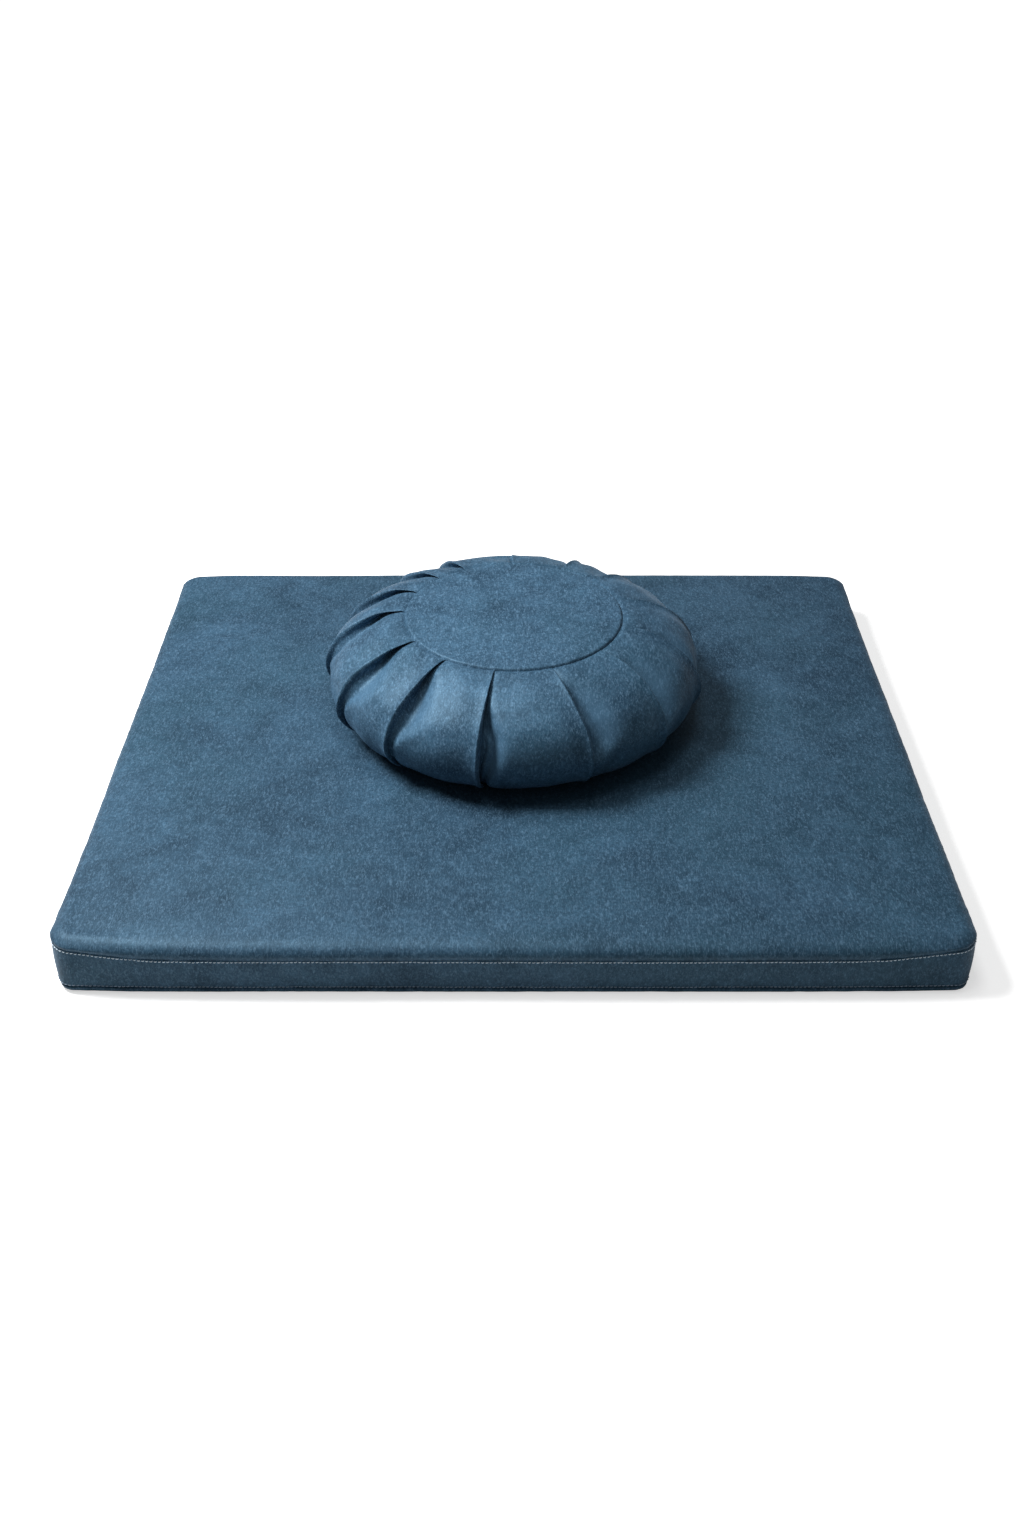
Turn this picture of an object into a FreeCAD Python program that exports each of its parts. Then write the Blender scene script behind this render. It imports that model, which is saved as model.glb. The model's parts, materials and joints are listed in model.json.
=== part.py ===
import FreeCAD, Part
import math
import os

# Floor cushion set: a boxed rectangular mat with a round, boxed cushion resting on it.
# Millimetres. Origin: middle of the mat's bottom face. +X runs along the mat's long side,
# +Y towards its back, where both zips are, and +Z up.
# Every cover panel is sheet cloth that meets its neighbour edge to edge at a seam.

# ---- driving dimensions: mat ----
MAT_WIDTH = 860.0            # long side, outside of the cover
MAT_DEPTH = 746.0
MAT_HEIGHT = 56.0
MAT_CORNER_RADIUS = 36.0     # upright corners, seen from above
TOP_SEAM_DROP = 15.0         # top face down to the seam between top panel and side band
BOTTOM_SEAM_RISE = 7.0       # floor up to the seam between bottom panel and side band
SEAM_FLAT = 1.0              # upright cloth between a rolled edge and its seam
TOP_WADDING = 9.0
BOTTOM_WADDING = 6.0

# ---- driving dimensions: round cushion, heights from its underside ----
CUSHION_DIAMETER = 412.0     # at the widest ring
WIDEST_HEIGHT = 52.0         # of the widest ring
BAND_RADIUS = 48.0           # the band's section is round about its widest ring
SHOULDER_ANGLE = 52.0        # degrees up that round, where the flatter shoulder starts
FOOT_ANGLE = -58.0           # degrees down it, where the straight undercut starts
DISC_DIAMETER = 238.0        # round panel in the top, and the same in the bottom
SEAM_HEIGHT = 116.0          # of the seam round the top disc
DISC_CROWN = 4.0             # the filling domes the top disc
CUSHION_SETBACK = 45.0       # the cushion's axis lies this far behind the mat's middle
REST_GAP = 0.3               # between the mat's top and the cushion's underside

# ---- driving dimensions: cloth and thread ----
COVER_CLOTH = 0.8
LINER_CLOTH = 0.4
THREAD = 0.6
TOPSTITCH_OFFSET = 2.0       # from a seam or a zip opening to its row of stitches

# ---- driving dimensions: zips, both alike but for their length ----
MAT_ZIP_LENGTH = 600.0       # opening in the back of the side band
CUSHION_ZIP_MARGIN = 1.5     # from the zip's pocket to each end of the band's round
TAPE_TO_SEAM = 4.4           # the mat's tapes reach this near to the band's two seams
CUSHION_TAPE_WIDTH = 12.0    # each of the cushion's two tapes
TAPE_THICKNESS = 0.5
TAPE_END = 8.0               # tape that runs on under the cover past each end of the opening
COIL_WIDTH = 2.2             # each of the two coils
COIL_HEIGHT = 1.8
COIL_GAP = 1.2               # the slider's neck runs between the coils
STOP_LENGTH = 2.0
SLIDER_LENGTH = 10.0
PLATE = 0.8                  # slider's plates, rails and bail
NECK_WIDTH = 0.5
NECK_LENGTH = 3.0
SLIDE_GAP = 0.5              # around the coils and tapes, and beside the slider
BAIL_SPAN = 5.6              # clear length under the bail, along the zip
BAIL_CLEARANCE = 2.0         # clear height under the bail
BAIL_WIDTH = 1.6
PIN_DIAMETER = 1.2           # the pull tab's cross pin, which turns under the bail
TAB_LENGTH = 24.0            # from the cross pin
TAB_WIDTH = 7.0
TAB_THICKNESS = 1.0
TAB_HOLE_DIAMETER = 2.6

# ---- worked out from the dimensions above ----
TOP_SEAM_Z = MAT_HEIGHT - TOP_SEAM_DROP
BOTTOM_SEAM_Z = BOTTOM_SEAM_RISE
MAT_ZIP_Z = (TOP_SEAM_Z + BOTTOM_SEAM_Z) / 2
FILL_INSET = COVER_CLOTH + LINER_CLOTH
SLIDER_HALF_WIDTH = COIL_GAP / 2 + COIL_WIDTH + SLIDE_GAP + PLATE
WINDOW_HALF_WIDTH = SLIDER_HALF_WIDTH + SLIDE_GAP
MAT_TAPE_EDGE = TOP_SEAM_Z - MAT_ZIP_Z - TAPE_TO_SEAM
CUSHION_TAPE_EDGE = COIL_GAP / 2 + CUSHION_TAPE_WIDTH
INNER_PLATE_TOP = -(COVER_CLOTH + TAPE_THICKNESS + SLIDE_GAP)
OUTER_PLATE_BOTTOM = COIL_HEIGHT - COVER_CLOTH + SLIDE_GAP
PIN_HEIGHT = OUTER_PLATE_BOTTOM + PLATE + BAIL_CLEARANCE / 2
POCKET_DEPTH = PLATE - INNER_PLATE_TOP + SLIDE_GAP

DISC_RADIUS = DISC_DIAMETER / 2
CUSHION_Z = MAT_HEIGHT + REST_GAP
ROUND_CENTRE_R = CUSHION_DIAMETER / 2 - BAND_RADIUS
ROUND_CENTRE_Z = CUSHION_Z + WIDEST_HEIGHT

# The cushion's zip fills the round of the band, where its slider can run on one arc.
CUSHION_TAPE_ROOM = TAPE_END + SLIDE_GAP + LINER_CLOTH + CUSHION_ZIP_MARGIN
CUSHION_TAPE_RUN = math.degrees(CUSHION_TAPE_ROOM / BAND_RADIUS)
CUSHION_ZIP_TOP = SHOULDER_ANGLE - CUSHION_TAPE_RUN
CUSHION_ZIP_BOTTOM = FOOT_ANGLE + CUSHION_TAPE_RUN

# Room left at the ends of a zip: stop, then the slider's half length and a gap.
END_MARGIN = SLIDE_GAP + STOP_LENGTH
SLIDER_END = END_MARGIN + SLIDE_GAP + SLIDER_LENGTH / 2

Z_AXIS = FreeCAD.Vector(0, 0, 1)
X_AXIS = FreeCAD.Vector(1, 0, 0)
ORIGIN = FreeCAD.Vector(0, 0, 0)


def save(name, shape):
    """Writes one piece to its own file, as a solid or a group of solids."""
    solids = shape.Solids
    whole = solids[0] if len(solids) == 1 else Part.makeCompound(solids)
    whole.exportStep(f"parts/{name}.step")


def box(low, high):
    """A block between two corners."""
    size = [b - a for a, b in zip(low, high)]
    return Part.makeBox(size[0], size[1], size[2], FreeCAD.Vector(*low))


# ---------------------------------------------------------------- mat
def mat_block(inset, bottom, top, top_roll, bottom_roll):
    """The mat's block with rounded upright corners and rolled top and bottom edges."""
    half_w = MAT_WIDTH / 2 - inset
    half_d = MAT_DEPTH / 2 - inset
    block = box((-half_w, -half_d, bottom), (half_w, half_d, top))
    upright = [e for e in block.Edges if abs(e.tangentAt(e.FirstParameter).z) > 0.9]
    block = block.makeFillet(MAT_CORNER_RADIUS - inset, upright)
    for height, roll in ((top, top_roll), (bottom, bottom_roll)):
        rim = [e for e in block.Edges if all(abs(v.Z - height) < 1e-6 for v in e.Vertexes)]
        block = block.makeFillet(roll, rim)
    return block


def mat_skin_block(inset):
    """The mat's block inset by a number of cloth thicknesses on every side."""
    top_roll = TOP_SEAM_DROP - SEAM_FLAT - inset
    bottom_roll = BOTTOM_SEAM_RISE - SEAM_FLAT - inset
    return mat_block(inset, inset, MAT_HEIGHT - inset, top_roll, bottom_roll)


def mat_layer(low, high):
    """All the space between two heights over the mat."""
    return box((-MAT_WIDTH, -MAT_DEPTH, low), (MAT_WIDTH, MAT_DEPTH, high))


def mat_back(half_length, low, high, depth):
    """A block at the mat's back face, as deep as stated and open to the outside."""
    back = MAT_DEPTH / 2
    return box((-half_length, back - depth, low), (half_length, back + THREAD, high))


def mat_zip_pocket(lining):
    """Room behind the zip for its tapes and the slider's inner plate, and for a lining."""
    half_height = MAT_TAPE_EDGE + SLIDE_GAP + lining
    return mat_back(MAT_ZIP_LENGTH / 2 + TAPE_END + SLIDE_GAP + lining, MAT_ZIP_Z - half_height,
                    MAT_ZIP_Z + half_height, POCKET_DEPTH + lining)


def build_mat_cover():
    outer = mat_skin_block(0)
    skin = outer.cut(mat_skin_block(COVER_CLOTH))
    save("mat_top_panel", skin.common(mat_layer(TOP_SEAM_Z, MAT_HEIGHT + 1)))
    save("mat_bottom_panel", skin.common(mat_layer(-1, BOTTOM_SEAM_Z)))
    ring = skin.common(mat_layer(BOTTOM_SEAM_Z, TOP_SEAM_Z))
    half = MAT_ZIP_LENGTH / 2
    depth = COVER_CLOTH + SLIDE_GAP
    save("mat_side_band", ring.cut(mat_back(half, BOTTOM_SEAM_Z - 1, TOP_SEAM_Z + 1, depth)))
    upper = mat_back(half, MAT_ZIP_Z + WINDOW_HALF_WIDTH, TOP_SEAM_Z, depth)
    lower = mat_back(half, BOTTOM_SEAM_Z, MAT_ZIP_Z - WINDOW_HALF_WIDTH, depth)
    save("mat_zip_strip_upper", ring.common(upper))
    save("mat_zip_strip_lower", ring.common(lower))


def build_mat_inside():
    padding = mat_skin_block(FILL_INSET).cut(mat_zip_pocket(LINER_CLOTH))
    skin = mat_skin_block(COVER_CLOTH).cut(mat_zip_pocket(0)).cut(padding)
    save("mat_liner_top", skin.common(mat_layer(TOP_SEAM_Z, MAT_HEIGHT)))
    save("mat_liner_band", skin.common(mat_layer(BOTTOM_SEAM_Z, TOP_SEAM_Z)))
    save("mat_liner_bottom", skin.common(mat_layer(0, BOTTOM_SEAM_Z)))
    core_bottom = FILL_INSET + BOTTOM_WADDING
    core_top = MAT_HEIGHT - FILL_INSET - TOP_WADDING
    save("mat_wadding_top", padding.common(mat_layer(core_top, MAT_HEIGHT)))
    save("mat_foam_core", padding.common(mat_layer(core_bottom, core_top)))
    save("mat_wadding_bottom", padding.common(mat_layer(0, core_bottom)))


def mat_stitch_ring(height):
    """A row of stitches round the side band, standing on the cloth by its thread."""
    half = THREAD / 2
    outer = mat_block(-THREAD, BOTTOM_SEAM_Z, TOP_SEAM_Z, THREAD, THREAD)
    inner = mat_block(0, 0, MAT_HEIGHT, THREAD, THREAD)
    return outer.cut(inner).common(mat_layer(height - half, height + half))


def build_mat_stitching():
    save("mat_top_topstitch", mat_stitch_ring(TOP_SEAM_Z - TOPSTITCH_OFFSET))
    save("mat_bottom_topstitch", mat_stitch_ring(BOTTOM_SEAM_Z + TOPSTITCH_OFFSET))
    rows = []
    for side in (-1, 1):
        height = MAT_ZIP_Z + side * (WINDOW_HALF_WIDTH + TOPSTITCH_OFFSET)
        rows.append(mat_back(MAT_ZIP_LENGTH / 2, height - THREAD / 2, height + THREAD / 2, 0))
    save("mat_zip_stitching", Part.makeCompound(rows))


# ---------------------------------------------------------------- round cushion
def band_point(inset, angle):
    """A point of the band's round section: distance from the axis, and height."""
    radius = BAND_RADIUS - inset
    turn = math.radians(angle)
    across = ROUND_CENTRE_R + radius * math.cos(turn)
    return FreeCAD.Vector(across, 0, ROUND_CENTRE_Z + radius * math.sin(turn))


def band_arc(inset, low, high):
    """The band's section, inset, between two angles from the widest ring."""
    middle = band_point(inset, (low + high) / 2)
    return Part.Arc(band_point(inset, low), middle, band_point(inset, high)).toShape()


def line(a, b):
    return Part.LineSegment(a, b).toShape()


def shoulder_arc():
    """The arc that leaves the band's round smoothly and ends at the top disc's seam."""
    start = band_point(0, SHOULDER_ANGLE)
    end = FreeCAD.Vector(DISC_RADIUS, 0, CUSHION_Z + SEAM_HEIGHT)
    chord = end - start
    turn = math.radians(SHOULDER_ANGLE)
    leaving = FreeCAD.Vector(-math.sin(turn), 0, math.cos(turn))
    upwards = FreeCAD.Vector(-chord.z, 0, chord.x) * -1
    bend = math.copysign(leaving.getAngle(chord), leaving.dot(upwards))
    middle = (start + end) * 0.5 + upwards * (math.tan(bend / 2) / 2)
    return Part.Arc(start, middle, end).toShape()


def cushion_section(inset):
    """Half the cushion's upright section, inset by cloth, from the axis outwards."""
    turn = math.radians(FOOT_ANGLE)
    foot = band_point(0, FOOT_ANGLE)
    toe_r = foot.x - (foot.z - CUSHION_Z) * math.tan(-turn)
    toe = FreeCAD.Vector(toe_r, 0, CUSHION_Z)
    side = [line(toe, foot), band_arc(0, FOOT_ANGLE, SHOULDER_ANGLE), shoulder_arc()]
    mirrored = [edge.mirror(ORIGIN, X_AXIS) for edge in side]
    rim = FreeCAD.Vector(DISC_RADIUS, 0, CUSHION_Z + SEAM_HEIGHT)
    crown = FreeCAD.Vector(0, 0, CUSHION_Z + SEAM_HEIGHT + DISC_CROWN)
    other_rim = FreeCAD.Vector(-DISC_RADIUS, 0, rim.z)
    base = line(FreeCAD.Vector(-toe_r, 0, CUSHION_Z), toe)
    dome = Part.Arc(rim, crown, other_rim).toShape()
    face = Part.Face(Part.Wire(Part.__sortEdges__(side + mirrored + [base, dome])))
    if inset:
        face = face.makeOffset2D(-inset)
    return face.common(section_area(0, CUSHION_DIAMETER, 0, CUSHION_DIAMETER))


def section_area(near, far, low, high):
    """A rectangle of the upright section, by distance from the axis and height."""
    corners = [(near, low), (far, low), (far, high), (near, high), (near, low)]
    points = [FreeCAD.Vector(r, 0, z) for r, z in corners]
    return Part.Face(Part.makePolygon(points))


def turned(face, start=0.0, sweep=360.0):
    """A section in the XZ plane, turned about the cushion's axis and put in place."""
    face = face.Faces[0].copy()
    face.rotate(ORIGIN, Z_AXIS, start)
    solid = face.revolve(ORIGIN, Z_AXIS, sweep)
    solid.translate(FreeCAD.Vector(0, CUSHION_SETBACK, 0))
    return solid


def skin_pieces(outer, inner):
    """The top disc, the band and the bottom disc of one bag, between two insets."""
    skin = cushion_section(outer).cut(cushion_section(inner))
    far = CUSHION_DIAMETER
    top = skin.common(section_area(0, DISC_RADIUS, ROUND_CENTRE_Z, far))
    band = skin.common(section_area(DISC_RADIUS, far, 0, far))
    bottom = skin.common(section_area(0, DISC_RADIUS, 0, ROUND_CENTRE_Z))
    return turned(top), turned(band), turned(bottom)


def round_strip(outer, inner, low, high):
    """Part of the band's round section between two insets and two angles."""
    edges = [
        band_arc(outer, low, high),
        line(band_point(outer, high), band_point(inner, high)),
        band_arc(inner, low, high),
        line(band_point(inner, low), band_point(outer, low)),
    ]
    return Part.Face(Part.Wire(Part.__sortEdges__(edges)))


def back_sector(outer, inner, low, high, half_width):
    """A strip of the band's round at the back, as wide each way as stated."""
    half_turn = math.degrees(math.asin(half_width / (CUSHION_DIAMETER / 2)))
    return turned(round_strip(outer, inner, low, high), 90 - half_turn, 2 * half_turn)


def back_bar(outer, inner, low, high, left, right):
    """A bar along the zip, straight across: between two insets, angles and X places."""
    face = round_strip(outer, inner, low, high)
    face.rotate(ORIGIN, Z_AXIS, 90)
    face.translate(FreeCAD.Vector(left, CUSHION_SETBACK, 0))
    return face.extrude(X_AXIS * (right - left))


def zip_degrees(length):
    """The angle of a length along the cushion's zip."""
    return math.degrees(length / BAND_RADIUS)


def cushion_zip_pocket(outer, lining):
    """Room behind the zip, from an inset inwards, and for a lining round it."""
    end = zip_degrees(TAPE_END + SLIDE_GAP + lining)
    return back_sector(outer, POCKET_DEPTH + lining, CUSHION_ZIP_BOTTOM - end,
                       CUSHION_ZIP_TOP + end, CUSHION_TAPE_EDGE + SLIDE_GAP + lining)


def build_cushion_cover():
    top, band, bottom = skin_pieces(0, COVER_CLOTH)
    window = back_bar(-THREAD, COVER_CLOTH + SLIDE_GAP, CUSHION_ZIP_BOTTOM, CUSHION_ZIP_TOP,
                      -WINDOW_HALF_WIDTH, WINDOW_HALF_WIDTH)
    save("cushion_top_disc", top)
    save("cushion_side_band", band.cut(window))
    save("cushion_bottom_disc", bottom)


def build_cushion_inside():
    top, band, bottom = skin_pieces(COVER_CLOTH, FILL_INSET)
    pocket = cushion_zip_pocket(0, 0)
    pocket_and_lining = cushion_zip_pocket(COVER_CLOTH, LINER_CLOTH)
    save("cushion_liner_top", top)
    save("cushion_liner_band", band.cut(pocket).fuse(pocket_and_lining.cut(pocket)))
    save("cushion_liner_bottom", bottom)
    save("cushion_filling", turned(cushion_section(FILL_INSET)).cut(pocket_and_lining))


def build_cushion_stitching():
    """The zip's two rows of stitches, one each side of the opening."""
    rows = []
    for side in (-1, 1):
        inner = side * (WINDOW_HALF_WIDTH + TOPSTITCH_OFFSET - THREAD / 2)
        outer = side * (WINDOW_HALF_WIDTH + TOPSTITCH_OFFSET + THREAD / 2)
        rows.append(back_bar(-THREAD, 0, CUSHION_ZIP_BOTTOM, CUSHION_ZIP_TOP,
                             min(inner, outer), max(inner, outer)))
    save("cushion_zip_stitching", Part.makeCompound(rows))


# ---------------------------------------------------------------- zips
# A zip's own axes: X along it towards its closed end, Y across, Z out of the cover.
def zip_slider():
    """Two plates and two rails round the coils, a neck between them, and a bail on top."""
    half = SLIDER_LENGTH / 2
    wide = SLIDER_HALF_WIDTH
    top = OUTER_PLATE_BOTTOM + PLATE
    body = box((-half, -wide, OUTER_PLATE_BOTTOM), (half, wide, top))
    body = body.fuse(box((-half, -wide, INNER_PLATE_TOP - PLATE), (half, wide, INNER_PLATE_TOP)))
    corners = [e for e in body.Edges if abs(e.tangentAt(e.FirstParameter).z) > 0.9]
    body = body.makeFillet(2 * PLATE, corners)
    neck = box((-NECK_LENGTH / 2, -NECK_WIDTH / 2, INNER_PLATE_TOP - PLATE / 2),
               (NECK_LENGTH / 2, NECK_WIDTH / 2, OUTER_PLATE_BOTTOM + PLATE / 2))
    body = body.fuse(neck)
    rail_end = half - 2 * PLATE
    for side in (-1, 1):
        inner = side * (wide - PLATE)
        outer = side * wide
        rail = box((-rail_end, min(inner, outer), SLIDE_GAP - COVER_CLOTH),
                   (rail_end, max(inner, outer), top))
        body = body.fuse(rail)
    post = BAIL_SPAN / 2
    roof = top + BAIL_CLEARANCE
    bail = box((-post - PLATE, -BAIL_WIDTH / 2, top - PLATE / 2),
               (post + PLATE, BAIL_WIDTH / 2, roof + PLATE))
    bail = bail.cut(box((-post, -BAIL_WIDTH, top - PLATE), (post, BAIL_WIDTH, roof)))
    return body.fuse(bail).removeSplitter()


def pull_tab():
    """A pierced tab whose two arms hold a cross pin under the bail."""
    arm_inner = BAIL_WIDTH / 2 + SLIDE_GAP
    arm_outer = TAB_WIDTH / 2 - PLATE
    plate_start = BAIL_SPAN / 2 + PLATE + 2 * SLIDE_GAP + TAB_THICKNESS / 2
    low = PIN_HEIGHT - TAB_THICKNESS / 2
    high = PIN_HEIGHT + TAB_THICKNESS / 2
    tab = box((-TAB_LENGTH, -TAB_WIDTH / 2, low), (-plate_start, TAB_WIDTH / 2, high))
    corners = [e for e in tab.Edges if abs(e.tangentAt(e.FirstParameter).z) > 0.9]
    tab = tab.makeFillet(TAB_WIDTH / 4, corners)
    hole = Part.makeCylinder(TAB_HOLE_DIAMETER / 2, TAB_THICKNESS + 2,
                             FreeCAD.Vector(TAB_WIDTH / 2 - TAB_LENGTH, 0, low - 1), Z_AXIS)
    tab = tab.cut(hole)
    for side in (-1, 1):
        near = side * arm_inner
        far = side * arm_outer
        arm = box((-plate_start - TAB_WIDTH / 4, min(near, far), low), (0, max(near, far), high))
        tab = tab.fuse(arm)
    pin = Part.makeCylinder(PIN_DIAMETER / 2, 2 * arm_outer,
                            FreeCAD.Vector(0, -arm_outer, PIN_HEIGHT), FreeCAD.Vector(0, 1, 0))
    return tab.fuse(pin).removeSplitter()


def on_mat_back(shape, along):
    """Turns a piece from the zip's axes onto the mat's back face, closed end towards -X."""
    shape.rotate(ORIGIN, X_AXIS, 90)
    shape.rotate(ORIGIN, Z_AXIS, 180)
    shape.translate(FreeCAD.Vector(-along, MAT_DEPTH / 2, MAT_ZIP_Z))
    return shape


def on_cushion_back(shape, angle):
    """Turns a piece onto the cushion's back at an angle up from the widest ring."""
    upright = FreeCAD.Rotation(Z_AXIS, X_AXIS, FreeCAD.Vector(0, 1, 0), "ZXY")
    shape.Placement = FreeCAD.Placement(ORIGIN, upright)
    shape.translate(FreeCAD.Vector(0, BAND_RADIUS, 0))
    shape.rotate(ORIGIN, X_AXIS, angle)
    shape.translate(FreeCAD.Vector(0, CUSHION_SETBACK + ROUND_CENTRE_R, ROUND_CENTRE_Z))
    return shape


def build_mat_zip():
    half = MAT_ZIP_LENGTH / 2
    face = MAT_DEPTH / 2 - COVER_CLOTH
    for side, name in ((1, "upper"), (-1, "lower")):
        inner_edge = MAT_ZIP_Z + side * COIL_GAP / 2
        low, high = sorted((inner_edge, MAT_ZIP_Z + side * MAT_TAPE_EDGE))
        tape = box((-half - TAPE_END, face - TAPE_THICKNESS, low), (half + TAPE_END, face, high))
        save(f"mat_zip_tape_{name}", tape)
        low, high = sorted((inner_edge, inner_edge + side * COIL_WIDTH))
        coil = box((-half + END_MARGIN, face, low), (half - END_MARGIN, face + COIL_HEIGHT, high))
        outer_edges = [
            e for e in coil.Edges
            if e.Length > half and all(abs(v.Y - face - COIL_HEIGHT) < 1e-6 for v in e.Vertexes)
        ]
        save(f"mat_zip_coil_{name}", coil.makeFillet(COIL_HEIGHT / 3, outer_edges))
    reach = COIL_GAP / 2 + COIL_WIDTH
    for end, name in ((-1, "closed"), (1, "open")):
        ends = sorted((end * (half - SLIDE_GAP), end * (half - END_MARGIN)))
        stop = box((ends[0], face, MAT_ZIP_Z - reach),
                   (ends[1], face + COIL_HEIGHT, MAT_ZIP_Z + reach))
        save(f"mat_zip_stop_{name}", stop)
    save("mat_zip_slider", on_mat_back(zip_slider(), half - SLIDER_END))
    save("mat_zip_pull_tab", on_mat_back(pull_tab(), half - SLIDER_END))


def build_cushion_zip():
    tape_end = zip_degrees(TAPE_END)
    tapes = back_sector(COVER_CLOTH, COVER_CLOTH + TAPE_THICKNESS, CUSHION_ZIP_BOTTOM - tape_end,
                        CUSHION_ZIP_TOP + tape_end, CUSHION_TAPE_EDGE)
    far = CUSHION_DIAMETER
    margin = zip_degrees(END_MARGIN)
    gap = zip_degrees(SLIDE_GAP)
    coil_outer = COVER_CLOTH - COIL_HEIGHT
    reach = COIL_GAP / 2 + COIL_WIDTH
    for side, name in ((-1, "left"), (1, "right")):
        near_x, far_x = sorted((side * COIL_GAP / 2, side * far))
        save(f"cushion_zip_tape_{name}", tapes.common(box((near_x, 0, 0), (far_x, far, far))))
        near_x, far_x = sorted((side * COIL_GAP / 2, side * reach))
        coil = back_bar(coil_outer, COVER_CLOTH, CUSHION_ZIP_BOTTOM + margin,
                        CUSHION_ZIP_TOP - margin, near_x, far_x)
        save(f"cushion_zip_coil_{name}", coil)
    top_stop = back_bar(coil_outer, COVER_CLOTH, CUSHION_ZIP_TOP - margin,
                        CUSHION_ZIP_TOP - gap, -reach, reach)
    bottom_stop = back_bar(coil_outer, COVER_CLOTH, CUSHION_ZIP_BOTTOM + gap,
                           CUSHION_ZIP_BOTTOM + margin, -reach, reach)
    save("cushion_zip_stop_top", top_stop)
    save("cushion_zip_stop_bottom", bottom_stop)
    rest = CUSHION_ZIP_TOP - zip_degrees(SLIDER_END)
    save("cushion_zip_slider", on_cushion_back(zip_slider(), rest))
    save("cushion_zip_pull_tab", on_cushion_back(pull_tab(), rest))


os.makedirs("parts", exist_ok=True)
build_mat_cover()
build_mat_inside()
build_mat_stitching()
build_mat_zip()
build_cushion_cover()
build_cushion_inside()
build_cushion_stitching()
build_cushion_zip()

rest_angle = CUSHION_ZIP_TOP - zip_degrees(SLIDER_END)
travel_angle = CUSHION_ZIP_TOP - CUSHION_ZIP_BOTTOM - 2 * zip_degrees(SLIDER_END)
print("mat zip travel", MAT_ZIP_LENGTH - 2 * SLIDER_END, "from x", SLIDER_END - MAT_ZIP_LENGTH / 2)
print("mat tab pin", MAT_DEPTH / 2 + PIN_HEIGHT, "height", MAT_ZIP_Z)
print("cushion zip centre", CUSHION_SETBACK + ROUND_CENTRE_R, ROUND_CENTRE_Z, "arc", BAND_RADIUS)
print("cushion zip rest", rest_angle, "travel", travel_angle)
print("cushion tab pin radius", BAND_RADIUS + PIN_HEIGHT)
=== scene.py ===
import json
import math

import bmesh
import bpy
import numpy as np
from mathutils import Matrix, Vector


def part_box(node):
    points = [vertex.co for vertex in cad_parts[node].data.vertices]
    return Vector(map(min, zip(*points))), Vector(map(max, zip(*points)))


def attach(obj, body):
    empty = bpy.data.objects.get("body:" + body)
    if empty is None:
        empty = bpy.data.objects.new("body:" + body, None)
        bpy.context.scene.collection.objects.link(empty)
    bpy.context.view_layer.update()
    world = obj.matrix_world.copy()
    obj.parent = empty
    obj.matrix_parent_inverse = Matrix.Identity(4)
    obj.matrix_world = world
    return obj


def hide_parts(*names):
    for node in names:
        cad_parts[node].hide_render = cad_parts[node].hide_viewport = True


# Looks for a floor cushion set: a boxed mat and a pleated round cushion that rests on it.
# Metres. +X runs along the mat's long side, +Y towards its back, where the zips are, +Z up.

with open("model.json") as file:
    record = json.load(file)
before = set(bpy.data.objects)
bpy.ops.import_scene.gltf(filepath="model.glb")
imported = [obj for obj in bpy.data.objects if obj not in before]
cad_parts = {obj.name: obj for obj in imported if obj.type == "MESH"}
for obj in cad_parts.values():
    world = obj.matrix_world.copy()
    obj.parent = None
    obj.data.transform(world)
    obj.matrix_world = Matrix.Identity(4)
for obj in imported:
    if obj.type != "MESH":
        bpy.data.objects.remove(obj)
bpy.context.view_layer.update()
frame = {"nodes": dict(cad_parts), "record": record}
MM = 0.001

# ---- places taken from the frame ----
top_low, top_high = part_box("mat_top_panel")
MAT_HALF = np.array([top_high.x, top_high.y])
TOP_SEAM = top_low.z
BOTTOM_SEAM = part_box("mat_bottom_panel")[1].z
ZIP_HALF_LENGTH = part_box("mat_zip_strip_upper")[1].x
CORE_BOTTOM, CORE_TOP = (corner.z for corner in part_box("mat_foam_core"))

disc_low, disc_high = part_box("cushion_top_disc")
AXIS = np.array([(disc_low.x + disc_high.x) / 2, (disc_low.y + disc_high.y) / 2])
DISC_R = (disc_high.x - disc_low.x) / 2
DISC_CROWN_Z = disc_high.z
BAND_R = (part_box("cushion_side_band")[1].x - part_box("cushion_side_band")[0].x) / 2
CUSHION_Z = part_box("cushion_side_band")[0].z

joints = {joint["name"]: joint for joint in frame["record"]["behaviour"]["joints"]}
ROUND_Y, ROUND_Z = joints["cushion_zip"]["pos_m"][1:]
ROUND_R = ROUND_Y - AXIS[1]
ROUND = BAND_R - ROUND_R

# ---- shape of the mat's cover ----
CORNER_R = 22 * MM            # of the upright corners, seen from above, at the top seam
CORNER_R_FOOT = 15 * MM       # the same near the floor
CORNER_PULL = 11 * MM         # the front's ends lie back by this at the top seam
CORNER_PULL_FOOT = 3 * MM     # and by this at the floor
SIDE_LEAN = 4.5 * MM          # the left and right sides lean in by this at the floor
CORNER_LIFT = 5.5 * MM        # the top seam climbs by this towards each corner
CORNER_REACH = 95 * MM        # over about this distance
MAT_ZIP_MARGIN = 20 * MM      # the band stays flat this far beyond the mat's zip
MAT_ZIP_FADE = 60 * MM        # and takes its usual shape over this distance
MAT_CROWN = 2.2 * MM          # the padding domes the top
CUSHION_DENT = 2.2 * MM       # the round cushion presses into the mat
PUCKER = 0.55 * MM            # ripples beside the seams
GATHER_REACH = 10 * MM        # the ripples die away over this distance from a seam
SEAM_HALF = 1.2 * MM          # closer than this to the seam they are held flat
GATHERED_ROWS = 12            # mm above and below a seam

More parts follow.
